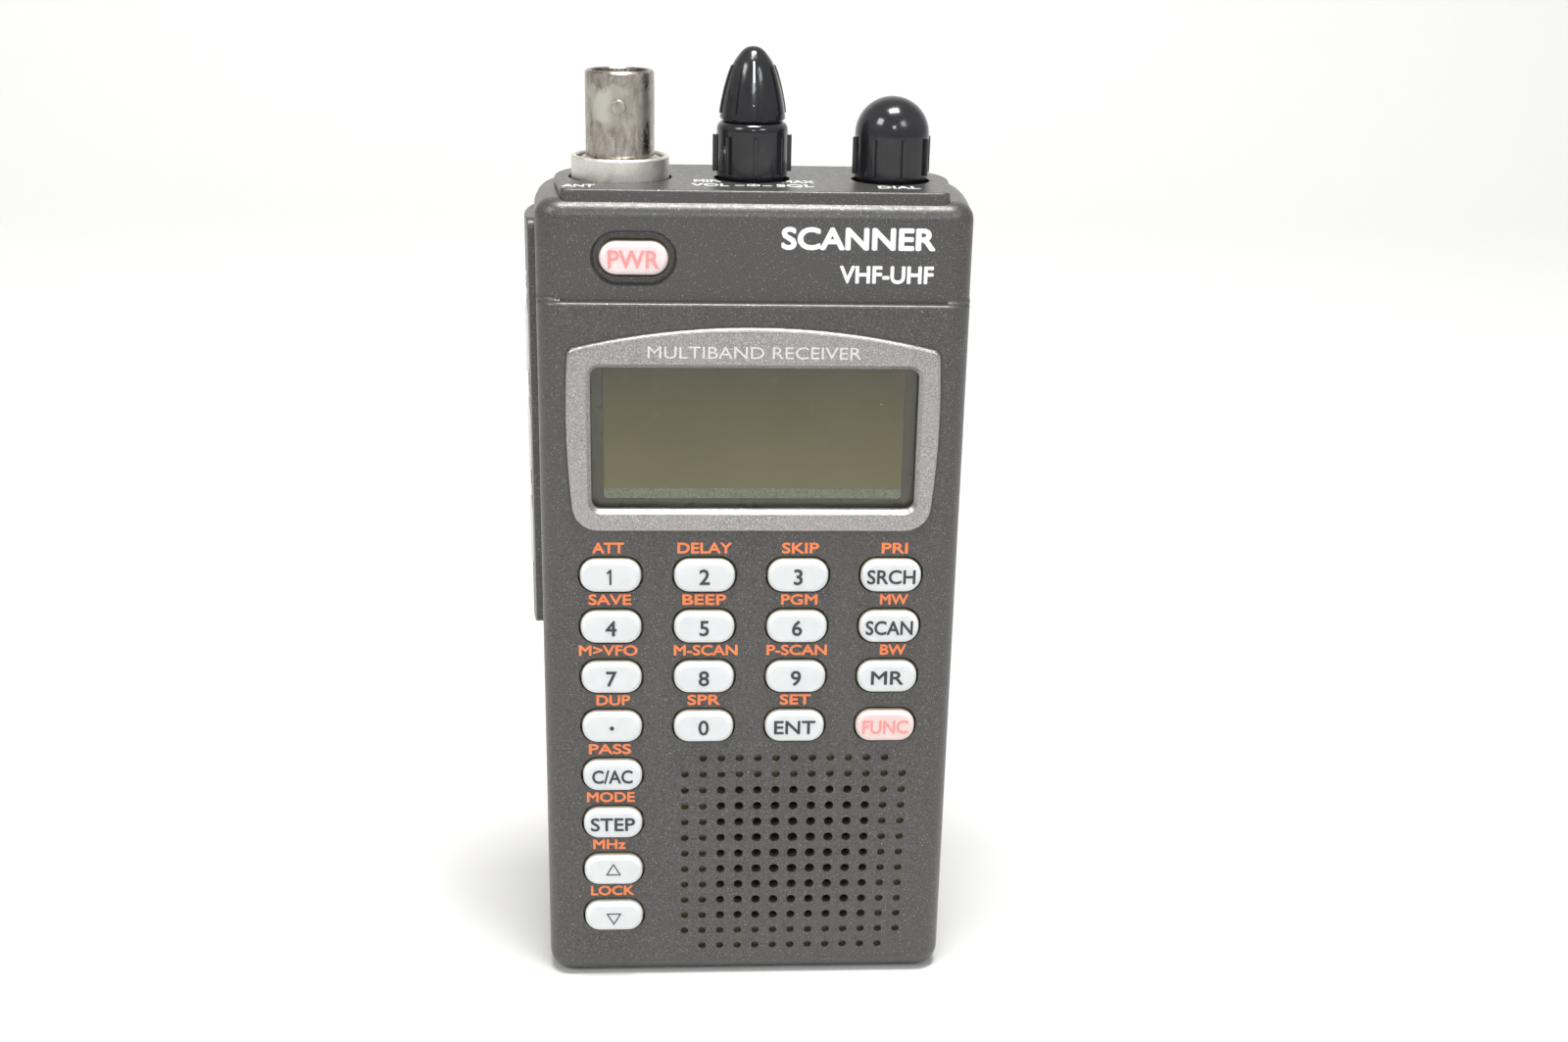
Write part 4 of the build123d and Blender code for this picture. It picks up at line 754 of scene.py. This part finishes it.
# ------------------------------------------------------------------ display
def rounded(width, height, radius, steps=6):
    """The points of a rounded rectangle, anticlockwise."""
    points = []
    for quarter, (sx, sy) in enumerate(((1, 1), (-1, 1), (-1, -1), (1, -1))):
        for i in range(steps + 1):
            angle = (quarter + i / steps) * math.pi / 2
            points.append((sx * (width / 2 - radius) + radius * math.cos(angle),
                           sy * (height / 2 - radius) + radius * math.sin(angle)))
    return points


def slab(name, outline, inner, centre, y_front, y_back, material, bevel=0.04):
    """A plate or a frame that faces the front, with softened edges."""
    shape = ring_outline(outline, inner) if inner else flat_face(outline)
    grown = bmesh.ops.extrude_face_region(shape, geom=list(shape.faces))
    for v in [g for g in grown["geom"] if isinstance(g, bmesh.types.BMVert)]:
        v.co.z += y_back - y_front
    x, z = centre
    for v in shape.verts:
        v.co = Vector((v.co.x + x, y_front + v.co.z, v.co.y + z)) * MM
    bmesh.ops.recalc_face_normals(shape, faces=shape.faces)
    made = piece(name, "case", shape, material)
    soft = made.modifiers.new("soft_edges", "BEVEL")
    soft.width = bevel * MM
    soft.segments = 2
    soft.limit_method = "ANGLE"
    return made


def build_display(finishes):
    """The dark surround, the strip of bare glass and the polariser in front of the display's cell."""
    glass_lo, glass_hi = (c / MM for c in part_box("lcd_glass"))
    window_lo, window_hi = (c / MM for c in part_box("lcd_window"))
    centre_x = (window_lo.x + window_hi.x) / 2
    front = window_hi.y + 0.02
    back = glass_lo.y - 0.01
    width = window_hi.x - window_lo.x
    height = window_hi.z - window_lo.z
    middle_z = (window_lo.z + window_hi.z) / 2
    shade = moulded("display_surround", (0.075, 0.062, 0.034), (0.100, 0.084, 0.048), 0.3)
    view_w, view_h = 42.4, 19.9
    view_z = middle_z + 0.75
    outer = rounded(width - 0.2, height - 0.2, 0.6)
    hole = [(x, z + view_z - middle_z) for x, z in rounded(view_w, view_h, 0.5)]
    slab("display_surround", outer, hole, (centre_x, middle_z), front, back, shade)
    margin = 1.5
    slab("display_margin", rounded(view_w - 0.04, margin, 0.1), None,
         (centre_x, view_z - view_h / 2 + margin / 2), front + 0.05, back, finishes["light_guide"],
         0.02)
    slab("display_polariser", rounded(view_w - 0.04, view_h - margin - 0.06, 0.15), None,
         (centre_x, view_z + margin / 2), front + 0.03, back, finishes["lcd_glass"], 0.02)


# ------------------------------------------------------------------ everything
place_camera()
light_scene()
lay_floor()
slot_looks = slot_finishes()
dress_cad_nodes(slot_looks)
white_ink = printed_ink("white_ink", (0.90, 0.91, 0.92))
orange_ink = printed_ink("orange_ink", (0.96, 0.26, 0.09))
grey_ink = printed_ink("grey_ink", (0.040, 0.042, 0.046))
red_ink = printed_ink("red_ink", (0.86, 0.32, 0.30))
print_keypad(grey_ink, red_ink, orange_ink)
print_case(white_ink)
print_side(white_ink)
raise_bezel_words(plain_metal("bezel_words", (0.86, 0.86, 0.87), (0.66, 0.66, 0.67), 0.3, 0.2))
mark_volume_knob(white_ink)
build_display(slot_looks)
